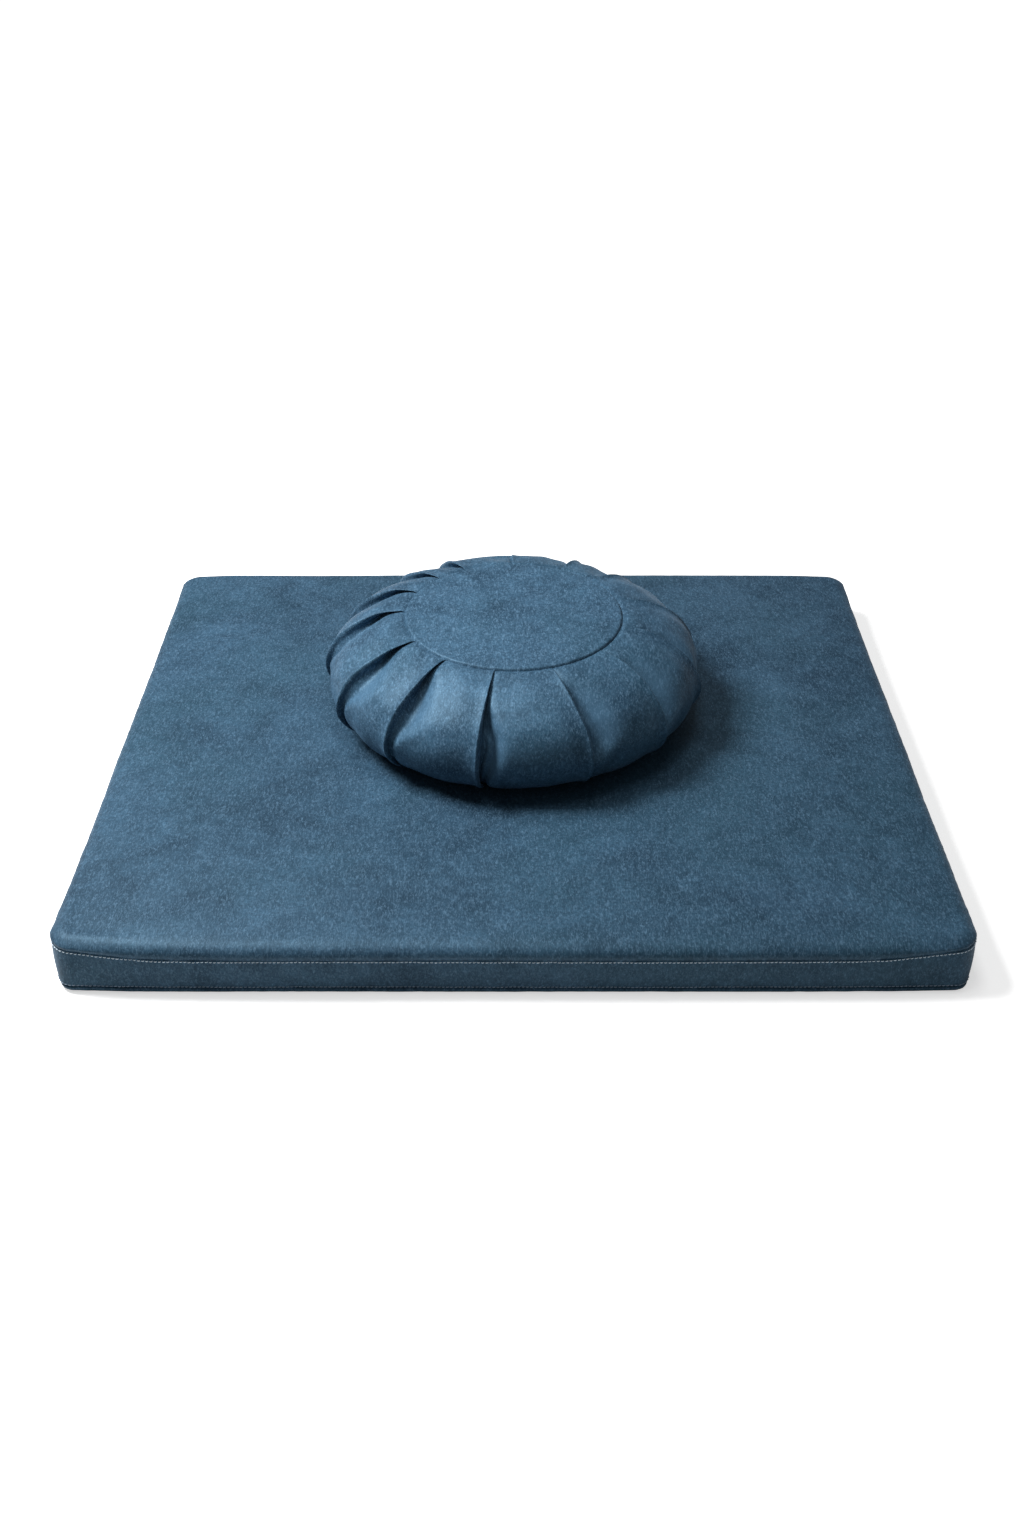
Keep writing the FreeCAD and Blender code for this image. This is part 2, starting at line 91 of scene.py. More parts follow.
# ---- shape of the round cushion's cover ----
SEAM_SINK = 2.0 * MM          # the seam round each disc lies below the cloth beside it
ZIP_FLAT = 13 * MM            # either side of the zip the band is smooth
ZIP_FADE = 26 * MM            # beyond that its folds come back over this width
ZIP_STRAIGHT_FADE = 14 * MM   # and its roundness over this one
GATHER_RUN = 22               # mm from a seam over which its fine gathers die away
DRAWN_RUN = 5.5               # mm from a seam over which the cloth dips into it
FOOT_ANGLE = -58.0            # of the band's round, where the undercut starts
SHOULDER_ANGLE = 52.0

# ---- stitches ----
STITCH = 2.7 * MM
STITCH_PITCH = 3.9 * MM
THREAD = 0.8 * MM


# ---------------------------------------------------------------- numbers
def ease(x):
    """0 below 0, 1 above 1, and a smooth step between."""
    x = np.clip(x, 0.0, 1.0)
    return x * x * (3 - 2 * x)


def mixed(a, b, share):
    return a + (b - a) * share


def ripples(points, size, seed, count=9):
    """Smooth seeded unevenness from -1 to 1, with hills about as wide as size."""
    random = np.random.default_rng(seed)
    total = np.zeros(points.shape[:-1])
    for _ in range(count):
        direction = random.normal(size=points.shape[-1])
        direction *= math.tau / (size * random.uniform(1.3, 2.6) * np.linalg.norm(direction))
        total += np.cos(points @ direction + random.uniform(0, math.tau))
    return total / count * 1.6


def along_curve(keys, places):
    """A smooth curve through (place, value) keys, read at the places given."""
    x = np.array([key[0] for key in keys], float)
    y = np.array([key[1] for key in keys], float)
    slope = np.gradient(y, x)
    index = np.clip(np.searchsorted(x, places) - 1, 0, len(x) - 2)
    width = x[index + 1] - x[index]
    t = np.clip((places - x[index]) / width, 0, 1)
    return ((2 * t**3 - 3 * t**2 + 1) * y[index] + (t**3 - 2 * t**2 + t) * width * slope[index]
            + (3 * t**2 - 2 * t**3) * y[index + 1] + (t**3 - t**2) * width * slope[index + 1])


# ---------------------------------------------------------------- meshes
def mesh_piece(name, points, faces, finish, body, slot, node):
    """A piece from points and faces: rides on a body and stands for a node."""
    mesh = bpy.data.meshes.new(name)
    mesh.from_pydata(np.asarray(points, float).reshape(-1, 3).tolist(), [], faces)
    mesh.validate()
    mesh.polygons.foreach_set("use_smooth", [True] * len(mesh.polygons))
    mesh.materials.append(finish)
    mesh.update()
    piece = bpy.data.objects.new(name, mesh)
    bpy.context.collection.objects.link(piece)
    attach(piece, body)
    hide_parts(node)
    return piece


def weld(piece, closed=True):
    """Joins points that lie on each other, and turns a closed piece's faces outwards."""
    work = bmesh.new()
    work.from_mesh(piece.data)
    bmesh.ops.remove_doubles(work, verts=work.verts, dist=0.01 * MM)
    if closed:
        bmesh.ops.recalc_face_normals(work, faces=work.faces)
    work.to_mesh(piece.data)
    work.free()


def grid_faces(rows, columns, closed=False, start=0, skip=None):
    """Quads over a grid of points, row after row."""
    i, j = np.meshgrid(np.arange(rows - 1), np.arange(columns - (not closed)), indexing="ij")
    if skip is not None:
        keep = ~skip(i, j)
        i, j = i[keep], j[keep]
    k = (j + 1) % columns
    quads = np.stack([i * columns + j, (i + 1) * columns + j,
                      (i + 1) * columns + k, i * columns + k], -1)
    return (quads.reshape(-1, 4) + start).tolist()


def tubes(paths, radii, sides=6):
    """Points and faces of round tubes with closed ends, all with as many path points."""
    paths = np.asarray(paths, float)
    count, length = paths.shape[:2]
    ahead = np.gradient(paths, axis=1)
    ahead /= np.linalg.norm(ahead, axis=-1, keepdims=True)
    aslant = np.broadcast_to(np.array([0.31, 0.22, 0.92]), ahead.shape)
    across = np.cross(ahead, aslant)
    across /= np.linalg.norm(across, axis=-1, keepdims=True)
    up = np.cross(across, ahead)
    turn = np.arange(sides) / sides * math.tau
    ring = (across[..., None, :] * np.cos(turn)[:, None]
            + up[..., None, :] * np.sin(turn)[:, None])
    points = paths[..., None, :] + ring * np.asarray(radii)[..., None, None]
    faces = []
    for each in range(count):
        start = each * length * sides
        faces += grid_faces(length, sides, True, start)
        faces.append([start + side for side in range(sides)])
        last = start + (length - 1) * sides
        faces.append([last + sides - 1 - side for side in range(sides)])
    return points.reshape(-1, 3), faces


def stitch_row(centres, ahead, outward, tilt=0.0):
    """Points and faces of a row of stitches that dip into the cloth at both ends."""
    reach = np.array([-0.5, -0.42, -0.22, 0.0, 0.22, 0.42, 0.5])
    stand = np.array([-0.9, 0.0, 0.42, 0.55, 0.42, 0.0, -0.9])
    thick = np.array([0.55, 0.85, 1.0, 1.0, 1.0, 0.85, 0.55])
    side = np.cross(outward, ahead)
    paths = (centres[:, None] + ahead[:, None] * reach[:, None] * STITCH
             + side[:, None] * reach[:, None] * STITCH * tilt
             + outward[:, None] * stand[:, None] * THREAD)
    radii = np.broadcast_to(thick * THREAD / 2, paths.shape[:2])
    return tubes(paths, radii)


def spaced(line, pitch):
    """Points a pitch apart along a closed line of points, and the direction at each."""
    line = np.concatenate([line, line[:1]])
    run = np.r_[0, np.cumsum(np.linalg.norm(np.diff(line, axis=0), axis=1))]
    places = np.linspace(0, run[-1], int(run[-1] / pitch), endpoint=False) + pitch / 2
    centres = np.stack([np.interp(places, run, line[:, k]) for k in range(3)], -1)
    ahead = np.stack([np.interp(places + 1 * MM, run, line[:, k]) for k in range(3)], -1) - centres
    return centres, ahead / np.linalg.norm(ahead, axis=-1, keepdims=True)


# ---------------------------------------------------------------- finishes
class Field:
    """A value that varies over a surface. Sums on it add Math nodes."""

    def __init__(self, tree, socket):
        self.tree = tree
        self.socket = socket

    def maths(self, operation, *values, clamp=False):
        node = self.tree.nodes.new("ShaderNodeMath")
        node.operation = operation
        node.use_clamp = clamp
        for socket, value in zip(node.inputs, values):
            feed(self.tree, socket, value)
        return Field(self.tree, node.outputs[0])

    def __add__(self, other):
        return self.maths("ADD", self, other)

    def __sub__(self, other):
        return self.maths("SUBTRACT", self, other)

    def __rsub__(self, other):
        return self.maths("SUBTRACT", other, self)

    def __mul__(self, other):
        return self.maths("MULTIPLY", self, other)

    def __pow__(self, other):
        return self.maths("POWER", self, other)

    __radd__ = __add__
    __rmul__ = __mul__

    def clamped(self):
        return self.maths("ADD", self, 0.0, clamp=True)

    def largest(self, other):
        return self.maths("MAXIMUM", self, other)

    def stepped(self, low, high):
        """0 below low and 1 above high."""
        return ((self - low) * (1 / (high - low))).clamped()


def feed(tree, socket, value):
    """Links a varying value to a socket, or sets a plain one on it."""
    if isinstance(value, Field):
        tree.links.new(value.socket, socket)
    elif isinstance(value, tuple) and len(value) == 3 and socket.type == "RGBA":
        socket.default_value = (*value, 1.0)
    else:
        socket.default_value = value


class Finish:
    """A material in the making. Fixed values go straight onto the surface shader."""

    def __init__(self, name, **fixed):
        self.material = bpy.data.materials.new(name)
        self.material.use_nodes = True
        self.tree = self.material.node_tree
        self.surface = self.tree.nodes["Principled BSDF"]
        self.shine(**fixed)
        self.place = self.node("TexCoord", output="Object")

    def shine(self, **values):
        for socket, value in values.items():
            feed(self.tree, self.surface.inputs[socket.replace("_", " ")], value)

    def node(self, kind, output=0, settings=(), **values):
        node = self.tree.nodes.new("ShaderNode" + kind)
        for key, value in dict(settings).items():
            setattr(node, key, value)
        for socket, value in values.items():
            feed(self.tree, node.inputs[socket.replace("_", " ")], value)
        return Field(self.tree, node.outputs[output])

    def noise(self, size, detail=2.0, distortion=0.0, place=None, roughness=0.5):
        """Uneven patches about as wide as size, in metres."""
        return self.node("TexNoise", Vector=place or self.place, Scale=0.55 / size,
                         Detail=detail, Distortion=distortion, Roughness=roughness)

    def turned(self, angles, stretch, place=None):
        """The place on the object, turned by angles in degrees and then stretched."""
        turn = tuple(math.radians(angle) for angle in angles)
        return self.node("Mapping", Vector=place or self.place, Rotation=turn, Scale=stretch)

    def blend(self, share, first, second, way="MIX"):
        """One colour into another by a share."""
        node = self.tree.nodes.new("ShaderNodeMix")
        node.data_type = "RGBA"
        node.blend_type = way
        feed(self.tree, node.inputs[0], share)
        feed(self.tree, node.inputs[6], first)
        feed(self.tree, node.inputs[7], second)
        return Field(self.tree, node.outputs[2])

    def relief(self, height, depth, strength=1.0, under=None):
        """Bumps from a height, depth metres deep, over another relief if there is one."""
        values = {"Height": height, "Distance": depth, "Strength": strength}
        if under:
            values["Normal"] = under
        return self.node("Bump", **values)


PAINTED_SHEEN_NAME = "smoothed_nap"     # painted sheen: lighter, glossier cloth inside each pleat's valley, standing in for its satin highlight


def suede_finish(name, tone):
    """Brushed suede cloth: cloudy nap, short crossing fibres and a soft sheen."""

    def shade(red, green, blue):
        return (red * tone, green * tone, blue * tone)

    made = Finish(name, Sheen_Weight=0.10, Sheen_Roughness=0.40,
                  Sheen_Tint=(0.35, 0.65, 1.0), Specular_IOR_Level=0.34,
                  Specular_Tint=(0.42, 0.74, 1.0))
    clouds = made.noise(48 * MM, detail=5.0, distortion=0.7, roughness=0.62)
    patches = made.noise(16 * MM, detail=4.0, distortion=0.9, roughness=0.6)
    teal = made.noise(85 * MM, detail=3.0)
    fibres = None
    for angles in ((20, 35, 10), (-35, 15, 70), (40, -30, 130)):
        strokes = made.noise(1.0, detail=1.0, distortion=1.2,
                             place=made.turned(angles, (980, 290, 480)))
        fibres = strokes if fibres is None else fibres.largest(strokes)
    grain = made.noise(0.55 * MM, detail=2.0)
    flecks = made.noise(1.7 * MM, detail=2.0)
    nap_and_sheen = (clouds.stepped(0.38, 0.64) * 0.44 + patches.stepped(0.32, 0.68) * 0.34
           + fibres.stepped(0.46, 0.78) * 0.30)
    colour = made.blend(nap_and_sheen.clamped(), shade(0.0075, 0.0245, 0.0470),
                        shade(0.060, 0.138, 0.222))
    colour = made.blend(teal.stepped(0.45, 0.72) * 0.35, colour, shade(0.022, 0.075, 0.104))
    colour = made.blend(fibres.stepped(0.57, 0.74) * 0.48, colour, shade(0.145, 0.255, 0.375))
    colour = made.blend(flecks.stepped(0.40, 0.66) * 0.46, colour, shade(0.010, 0.027, 0.050))
    colour = made.blend(grain.stepped(0.35, 0.65) * 0.26, colour, shade(0.010, 0.026, 0.048))
    # painted sheen highlight: a lighter blue and a lower roughness wherever a piece carries the
    # painted sheen share, inside the pleats' valleys
    painted_sheen = made.node("Attribute", output="Fac", settings=[("attribute_name", PAINTED_SHEEN_NAME)])
    colour = made.blend(painted_sheen * 0.44, colour, shade(0.095, 0.200, 0.315))
    rough = 0.54 - clouds.stepped(0.35, 0.7) * 0.12 + grain * 0.06 - painted_sheen * 0.10
    bumps = made.relief(fibres.stepped(0.4, 0.85), 0.24 * MM, 0.6)
    bumps = made.relief(grain, 0.10 * MM, 0.5, bumps)
    made.shine(Base_Color=colour, Roughness=rough, Normal=bumps)
    return made.material


def thread_finish(name, light, dark):
    """Twisted sewing thread."""
    made = Finish(name, Sheen_Weight=0.2, Specular_IOR_Level=0.4)
    twist = made.noise(1.0, detail=1.0, place=made.turned((30, 40, 45), (5200, 1500, 1500)))
    fluff = made.noise(1.4 * MM, detail=2.0)
    share = (twist.stepped(0.35, 0.65) * 0.7 + fluff * 0.3).clamped()
    made.shine(Base_Color=made.blend(share, dark, light), Roughness=0.45 + fluff * 0.2,
               Normal=made.relief(twist, 0.12 * MM, 0.6))
    return made.material


def woven_finish(name, light, dark, thread, rough=0.8):
    """Plain weave: two crossing sets of threads of the stated width."""
    made = Finish(name, Sheen_Weight=0.1, Specular_IOR_Level=0.25)
    sets = []
    for angles in ((0, 35, 0), (0, 35, 90)):
        turned = made.turned(angles, (1.0, 1.0, 1.0))
        sets.append(made.node("TexWave", output="Fac", Vector=turned, Scale=0.16 / thread,
                              Distortion=1.2, Detail=1.0))
    weave = sets[0] * 0.5 + sets[1] * 0.5
    slubs = made.noise(9 * thread, detail=3.0)
    share = (weave * 0.7 + slubs * 0.4).clamped()
    made.shine(Base_Color=made.blend(share, dark, light), Roughness=rough - slubs * 0.1,
               Normal=made.relief(weave, thread * 0.4, 0.6))
    return made.material


def fluffy_finish(name, light, dark, size):
    """Matted fibres."""
    made = Finish(name, Sheen_Weight=0.3, Specular_IOR_Level=0.2)
    strands = made.noise(1.0, detail=3.0, distortion=2.0,
                         place=made.turned((15, 25, 30), (0.5 / size, 0.15 / size, 0.3 / size)))
    lumps = made.noise(10 * size, detail=3.0)
    share = (strands.stepped(0.3, 0.7) * 0.6 + lumps * 0.5).clamped()
    made.shine(Base_Color=made.blend(share, dark, light), Roughness=0.85 + lumps * 0.1,
               Normal=made.relief(strands + lumps, size, 0.7))
    return made.material


def foam_finish():
    """Cut foam with open cells."""
    made = Finish("cut_foam", Specular_IOR_Level=0.25)
    cells = made.node("TexVoronoi", output="Distance", Vector=made.place, Scale=900.0)
    tint = made.noise(30 * MM, detail=3.0)
    share = (cells * 0.8 + tint * 0.4).clamped()
    made.shine(Base_Color=made.blend(share, (0.42, 0.36, 0.20), (0.80, 0.74, 0.52)),
               Roughness=0.82 + tint * 0.1, Normal=made.relief(cells, 0.6 * MM, 0.8))
    return made.material


def coil_finish():
    """Dyed nylon monofilament."""
    made = Finish("zip_nylon", Specular_IOR_Level=0.5, Coat_Roughness=0.3)
    shade = made.noise(3 * MM, detail=2.0)
    made.shine(Base_Color=made.blend(shade, (0.035, 0.060, 0.095), (0.080, 0.125, 0.180)),
               Roughness=0.28 + shade * 0.15, Coat_Weight=shade * 0.2,
               Normal=made.relief(shade, 0.05 * MM, 0.4))
    return made.material


def metal_finish():
    """Tumbled zinc with a dark plating, brighter where it rubs."""
    made = Finish("zip_zinc", Specular_IOR_Level=0.5)
    lines = made.noise(1.0, detail=2.0, place=made.turned((0, 0, 0), (300, 2600, 2600)))
    wear = made.noise(2.5 * MM, detail=4.0)
    share = (lines.stepped(0.3, 0.7) * 0.4 + wear.stepped(0.35, 0.7) * 0.6).clamped()
    made.shine(Base_Color=made.blend(share, (0.30, 0.31, 0.33), (0.62, 0.63, 0.65)),
               Metallic=0.92 + wear * 0.08, Roughness=0.42 - wear.stepped(0.4, 0.7) * 0.14,
               Normal=made.relief(lines * 0.4 + wear, 0.06 * MM, 0.5))
    return made.material


SUEDE = suede_finish("brushed_suede", 0.74)
# The round cushion's suede is the mat's made lighter throughout: painted light, for the brighter
# light its cloth catches standing higher, nearer the lamps.
CUSHION_SUEDE = suede_finish("brushed_suede_cushion", 0.98)
STITCHING = thread_finish("pale_thread", (0.80, 0.92, 1.0), (0.52, 0.66, 0.80))
MID_STITCHING = thread_finish("grey_blue_thread", (0.28, 0.37, 0.47), (0.11, 0.17, 0.24))
DARK_STITCHING = thread_finish("blue_thread", (0.10, 0.17, 0.25), (0.03, 0.06, 0.10))
LINING = woven_finish("lining_cotton", (0.72, 0.70, 0.65), (0.52, 0.50, 0.46), 0.5 * MM)
TAPE = woven_finish("zip_tape_weave", (0.06, 0.10, 0.155), (0.022, 0.042, 0.07), 0.45 * MM, 0.7)
WADDING = fluffy_finish("polyester_wadding", (0.88, 0.88, 0.86), (0.66, 0.66, 0.65), 2.5 * MM)
FIBRE = fluffy_finish("fibre_filling", (0.90, 0.89, 0.86), (0.62, 0.61, 0.58), 3.5 * MM)
FOAM = foam_finish()
NYLON = coil_finish()
ZINC = metal_finish()


# ---------------------------------------------------------------- mat cover
# One ring of points runs round the mat from its front left corner, as seen from above.
# The counts share a factor of nine, so that a ring can be thinned twice.
LONG_SIDE, SHORT_SIDE, CORNER = 387, 333, 36
RING = 2 * (LONG_SIDE + SHORT_SIDE) + 4 * CORNER
THIN = 3


def ring_plan(radius):
    """The mat's outline with a corner radius, and the outward direction at each point."""
    places, outward = [], []
    for turn in range(4):
        angle = math.radians(-90 + 90 * turn)
        out = np.array([round(math.cos(angle)), round(math.sin(angle))])
        ahead = np.array([-out[1], out[0]])
        count = (LONG_SIDE, SHORT_SIDE)[turn % 2]
        reach = MAT_HALF @ np.abs(ahead) - radius
        run = (np.arange(count) / count * 2 - 1) * reach
        places.append(out * (MAT_HALF @ np.abs(out)) + ahead * run[:, None])
        outward.append(np.broadcast_to(out.astype(float), (count, 2)))
        sweep = angle + np.arange(CORNER) / CORNER * math.pi / 2
        around = np.stack([np.cos(sweep), np.sin(sweep)], -1)
        places.append((out + ahead) * (MAT_HALF - radius) + around * radius)
        outward.append(around)
    return np.concatenate(places), np.concatenate(outward)


OUTLINE = ring_plan(CORNER_R)[0]
LOOP = np.r_[0, np.cumsum(np.linalg.norm(np.diff(OUTLINE, axis=0), axis=1))]
LOOP_TURN = LOOP / (LOOP[-1] + 2 * MM) * math.tau
# places on a circle as long as the outline, so that ripples join up after one turn
AROUND = np.stack([np.cos(LOOP_TURN), np.sin(LOOP_TURN)], -1) * LOOP[-1] / math.tau


def near_zip(plan):
    """1 round the mat's zip, falling to 0 away from it."""
    beyond = np.abs(plan[:, 0]) - ZIP_HALF_LENGTH - MAT_ZIP_MARGIN
    return (1 - ease(beyond / MAT_ZIP_FADE)) * (plan[:, 1] > 0)


def corner_share(plan):
    """1 at the mat's corners and 0 along the middle of its sides."""
    from_corner = np.hypot(*(MAT_HALF - np.abs(plan)).T)
    return 1 - ease((from_corner - 12 * MM) / CORNER_REACH)


def bowed(plan, share):
    """The plan at a share of the way up the band, its ends drawn back from the front.

    The back stays straight at the zip, and the left and right sides lean in at the floor."""
    along = np.abs(plan[:, 0]) / MAT_HALF[0]
    pull = mixed(CORNER_PULL_FOOT, CORNER_PULL, share) * along**8
    beyond = np.abs(plan[:, 0]) - ZIP_HALF_LENGTH - 8 * MM
    back = mixed(CORNER_PULL_FOOT, 0.6 * CORNER_PULL, share) * ease(beyond / (120 * MM)) ** 2
    pull = np.where(plan[:, 1] > 0, back, pull)
    y = plan[:, 1] * (1 - pull / MAT_HALF[1])
    x = plan[:, 0] * (1 - (1 - share) * SIDE_LEAN / MAT_HALF[0])
    return np.stack([x, y], -1)


ZIP_FACE = [(7.0, 3.5), (8.2, 2.0), (10.0, 0.6), (11.4, 0.2), (14.0, 0.0), (34.0, 0.0),
            (36.6, 0.1), (38.2, 0.5), (39.8, 1.2), (41.0, 2.5)]   # height, inset at the zip


def mat_ring(inset, height, seed=0, seams=(), flat_at_zip=False):
    """One ring of the mat's cover, at an inset and a height given in millimetres.

    Beside the seams, given as heights in millimetres, the cloth gathers in fine ripples."""
    share = (height * MM - BOTTOM_SEAM) / (TOP_SEAM - BOTTOM_SEAM)
    up_band = float(np.clip(share, 0, 1))
    plan, outward = ring_plan(mixed(CORNER_R_FOOT, CORNER_R, up_band))
    corner = corner_share(plan)
    above = ease((height * MM - TOP_SEAM) / (11 * MM))
    lift = corner * CORNER_LIFT * ease(share * 1.15) * (1 - 0.72 * above)
    depth = np.full(RING, inset)
    free = np.ones(RING)
    if flat_at_zip:
        free = 1 - near_zip(plan)
        depth = mixed(along_curve(ZIP_FACE, np.array([height]))[0], depth, free)
    push = np.zeros(RING)
    for number, seam in enumerate(seams):
        near = abs(height - seam) < GATHERED_ROWS
        away = (height - seam) * MM if near else inset * MM + GATHER_REACH
        gather = (ripples(AROUND, 19 * MM, seed + number, 11)
                  + 0.7 * ripples(AROUND, 7 * MM, seed + 5 + number, 11))
        fade = math.exp(-abs(away) / GATHER_REACH) * float(ease(abs(away) / SEAM_HALF))
        push += PUCKER * gather * fade
    push += 0.8 * MM * ripples(AROUND, 120 * MM, seed + 9) * (1 if seams else 0)
    push *= free
    plan = bowed(plan - outward * (depth * MM - push)[:, None], up_band)
    return np.column_stack([plan, height * MM + lift + push * 0.25])


def section(keys, rows):
    """A smooth section through (inset, height) keys."""
    place = np.arange(len(keys), dtype=float)
    wanted = np.linspace(0, len(keys) - 1, rows)
    return np.stack([along_curve(list(zip(place, [key[k] for key in keys])), wanted)
                     for k in (0, 1)], -1)


def edge_rings(keys, rows, *details):
    """Rings of the mat down a smooth section."""
    return [mat_ring(inset, height, *details) for inset, height in section(keys, rows)]


def top_relief(plan):
    """Height of the padded top over its plain level."""
    from_axis = np.hypot(*(plan - AXIS).T)
    from_edge = np.min(MAT_HALF - np.abs(plan), axis=1)
    dome = MAT_CROWN * ease((from_edge - 15 * MM) / (140 * MM))
    waves = 0.8 * MM * ripples(plan, 130 * MM, 3) + 0.3 * MM * ripples(plan, 42 * MM, 4)
    under = 1 - ease((from_axis - 145 * MM) / (70 * MM))
    return mixed(dome + waves, 0.2 * waves - CUSHION_DENT, under)


def no_relief(plan):
    return np.zeros(len(plan))


EDGE_INSET = 14.0             # mm in from the outline, where the edge rings end
RIM_LEVEL = [(EDGE_INSET, 54.8), (22.0, 55.5), (34.0, 55.9), (60.0, 56.0), (400.0, 56.0)]
MIDDLE_SHARES = np.r_[0.012, 0.03, 0.055, 0.085, np.arange(0.115, 0.975, 0.03)]
THINNED_AT = (0, 16)          # of the middle rings
MIDDLE_LINE = 0.13            # the middle line's length over the mat's
FOAM_GAP = 0.1                # mm between the foam and its padding


def plain_level(height):
    return [(EDGE_INSET, height), (60.0, height), (400.0, height)]


def thinned_faces(start, after, count, fewer):
    """Faces from a ring to one with a third of its points."""
    k = np.arange(fewer)
    k2 = (k + 1) % fewer
    fine = [start + (k * THIN + step) % count for step in range(THIN + 1)]
    left = np.stack([fine[0], after + k, fine[1]], -1).tolist()
    middle = np.stack([fine[1], after + k, after + k2, fine[2]], -1).tolist()
    return left + middle + np.stack([fine[2], after + k2, fine[3]], -1).tolist()


def joined_faces(start, after, count):
    """Faces between two rings of as many points."""
    k = np.arange(count)
    k2 = (k + 1) % count
    return np.stack([start + k, after + k, after + k2, start + k2], -1).tolist()


def mat_face(rings, relief, level, lowered=0.0, upward=True):
    """A whole top or bottom: its edge rings, then rings that close in on the middle.

    The edge rings are fine, and the rest are thinned twice. level gives the height over
    the inset, and relief what is added to it."""
    edge = rings[-1]
    half = MAT_HALF[1] / MM
    points = [np.concatenate(rings)]
    faces = grid_faces(len(rings), RING, True)
    start, count = (len(rings) - 1) * RING, RING
    for number, share in enumerate(MIDDLE_SHARES):
        thin = number in THINNED_AT
        fewer = count // THIN if thin else count
        plan = edge[::RING // fewer, :2]
        plan = plan * (1 - share) + plan * share * np.array([MIDDLE_LINE, 0.0])
        inset = EDGE_INSET + share * (half - EDGE_INSET)
        height = along_curve(level, np.array([inset]))[0] * MM - lowered
        height = height + relief(plan) * ease((inset - EDGE_INSET) / 30)
        points.append(np.column_stack([plan, height]))
        after = start + count
        if thin:
            faces += thinned_faces(start, after, count, fewer)
        else:
            faces += joined_faces(start, after, count)
        start, count = after, fewer
    # the last ring lies along the middle line, its front and back points together
    step = RING // count
    opposite = ((2 * LONG_SIDE + 2 * CORNER + SHORT_SIDE) // step - np.arange(count)) % count
    x = MIDDLE_LINE * (edge[::step, 0] + edge[::step, 0][opposite]) / 2
    reach = MIDDLE_LINE * (MAT_HALF[0] - 40 * MM)
    plan = np.column_stack([np.clip(x, -reach, reach), 0 * x])
    height = along_curve(level, np.array([half]))[0] * MM - lowered + relief(plan)
    points.append(np.column_stack([plan, height]))
    faces += joined_faces(start, start + count, count)
    if upward:
        faces = [face[::-1] for face in faces]
    return np.concatenate(points), faces


TOP_KEYS = [(0.9, 40.9), (0.45, 41.5), (0.1, 43.0), (-0.2, 45.2), (0.5, 47.5), (2.2, 49.8),
            (5.0, 51.9), (9.0, 53.7), (14.0, 54.8)]
BAND_KEYS = [(0.9, 40.9), (0.45, 40.2), (0.3, 38.6), (-0.1, 34.0), (-0.5, 27.0), (-0.4, 19.0),
             (0.1, 12.5), (0.3, 9.4), (0.9, 7.9), (3.6, 7.0)]
BAND_ROWS = 26
BOTTOM_KEYS = [(3.6, 7.0), (1.1, 6.3), (0.5, 4.9), (0.8, 2.9), (2.4, 1.2), (6.0, 0.35),
               (10.0, 0.05), (14.0, 0.0)]


def build_mat_cover():
    seams = (TOP_SEAM / MM, BOTTOM_SEAM / MM)
    rings = edge_rings(TOP_KEYS, 19, 20, seams[:1])
    top = mesh_piece("mat_top_cover", *mat_face(rings, top_relief, RIM_LEVEL), SUEDE,
                     "mat", "cover_cloth", "mat_top_panel")
    weld(top, False)
    rings = edge_rings(BOTTOM_KEYS, 12, 60, seams[1:])
    points, faces = mat_face(rings, no_relief, plain_level(0.0), upward=False)
    bottom = mesh_piece("mat_bottom_cover", points, faces, SUEDE, "mat", "cover_cloth",
                        "mat_bottom_panel")
    weld(bottom, False)
    rings = np.array(edge_rings(BAND_KEYS, BAND_ROWS, 40, seams, True))
    inside = (np.abs(OUTLINE[:, 0]) < ZIP_HALF_LENGTH) & (OUTLINE[:, 1] > 0)
    first, last = np.flatnonzero(inside)[[0, -1]]
    columns = np.r_[last + 1:RING, 0:first]
    strip = rings[:, columns]
    strip[:, 0, 0] = -ZIP_HALF_LENGTH
    strip[:, -1, 0] = ZIP_HALF_LENGTH
    band = mesh_piece("mat_band_cover", strip, grid_faces(len(strip), len(columns)), SUEDE,
                      "mat", "cover_cloth", "mat_side_band")
    return rings


UPPER_STRIP = [(2.6, 41.0), (1.2, 39.8), (0.5, 38.2), (0.1, 36.6), (0.0, 34.0), (0.0, 31.0),
               (0.0, 29.3), (0.15, 28.8), (0.5, 28.6), (1.0, 28.7)]
LOWER_STRIP = [(1.0, 19.3), (0.5, 19.4), (0.15, 19.2), (0.0, 18.7), (0.0, 16.0), (0.0, 14.0),
               (0.2, 11.4), (0.6, 10.0), (2.0, 8.2), (3.6, 7.0)]


def build_mat_zip_strips():
    """The cloth above and below the zip, folded in along its opening."""
    for side, keys in (("upper", UPPER_STRIP), ("lower", LOWER_STRIP)):
        x = np.linspace(ZIP_HALF_LENGTH, -ZIP_HALF_LENGTH, 300)
        wave = 0.12 * MM * ripples(np.stack([x, x * 0], -1), 30 * MM, 11)
        wave *= ease((ZIP_HALF_LENGTH - np.abs(x)) / (10 * MM))
        y = MAT_HALF[1] + np.minimum(wave, 0)
        rows = [np.column_stack([x, y - inset * MM, np.full(len(x), height * MM)])
                for inset, height in section(keys, 20)]
        strip = mesh_piece("mat_zip_cloth_" + side, rows, grid_faces(len(rows), len(x)), SUEDE,
                           "mat", "cover_cloth", "mat_zip_strip_" + side)


def ring_stitches(rings, heights, height):
    """A row of stitches round the band at a height, standing on its cloth."""
    line = rings[np.argmin(np.abs(heights - height))]
    centres, ahead = spaced(line, STITCH_PITCH)
    outward = np.stack([ahead[:, 1], -ahead[:, 0], ahead[:, 2] * 0], -1)
    return stitch_row(centres, ahead, outward / np.linalg.norm(outward, axis=1)[:, None], 0.12)


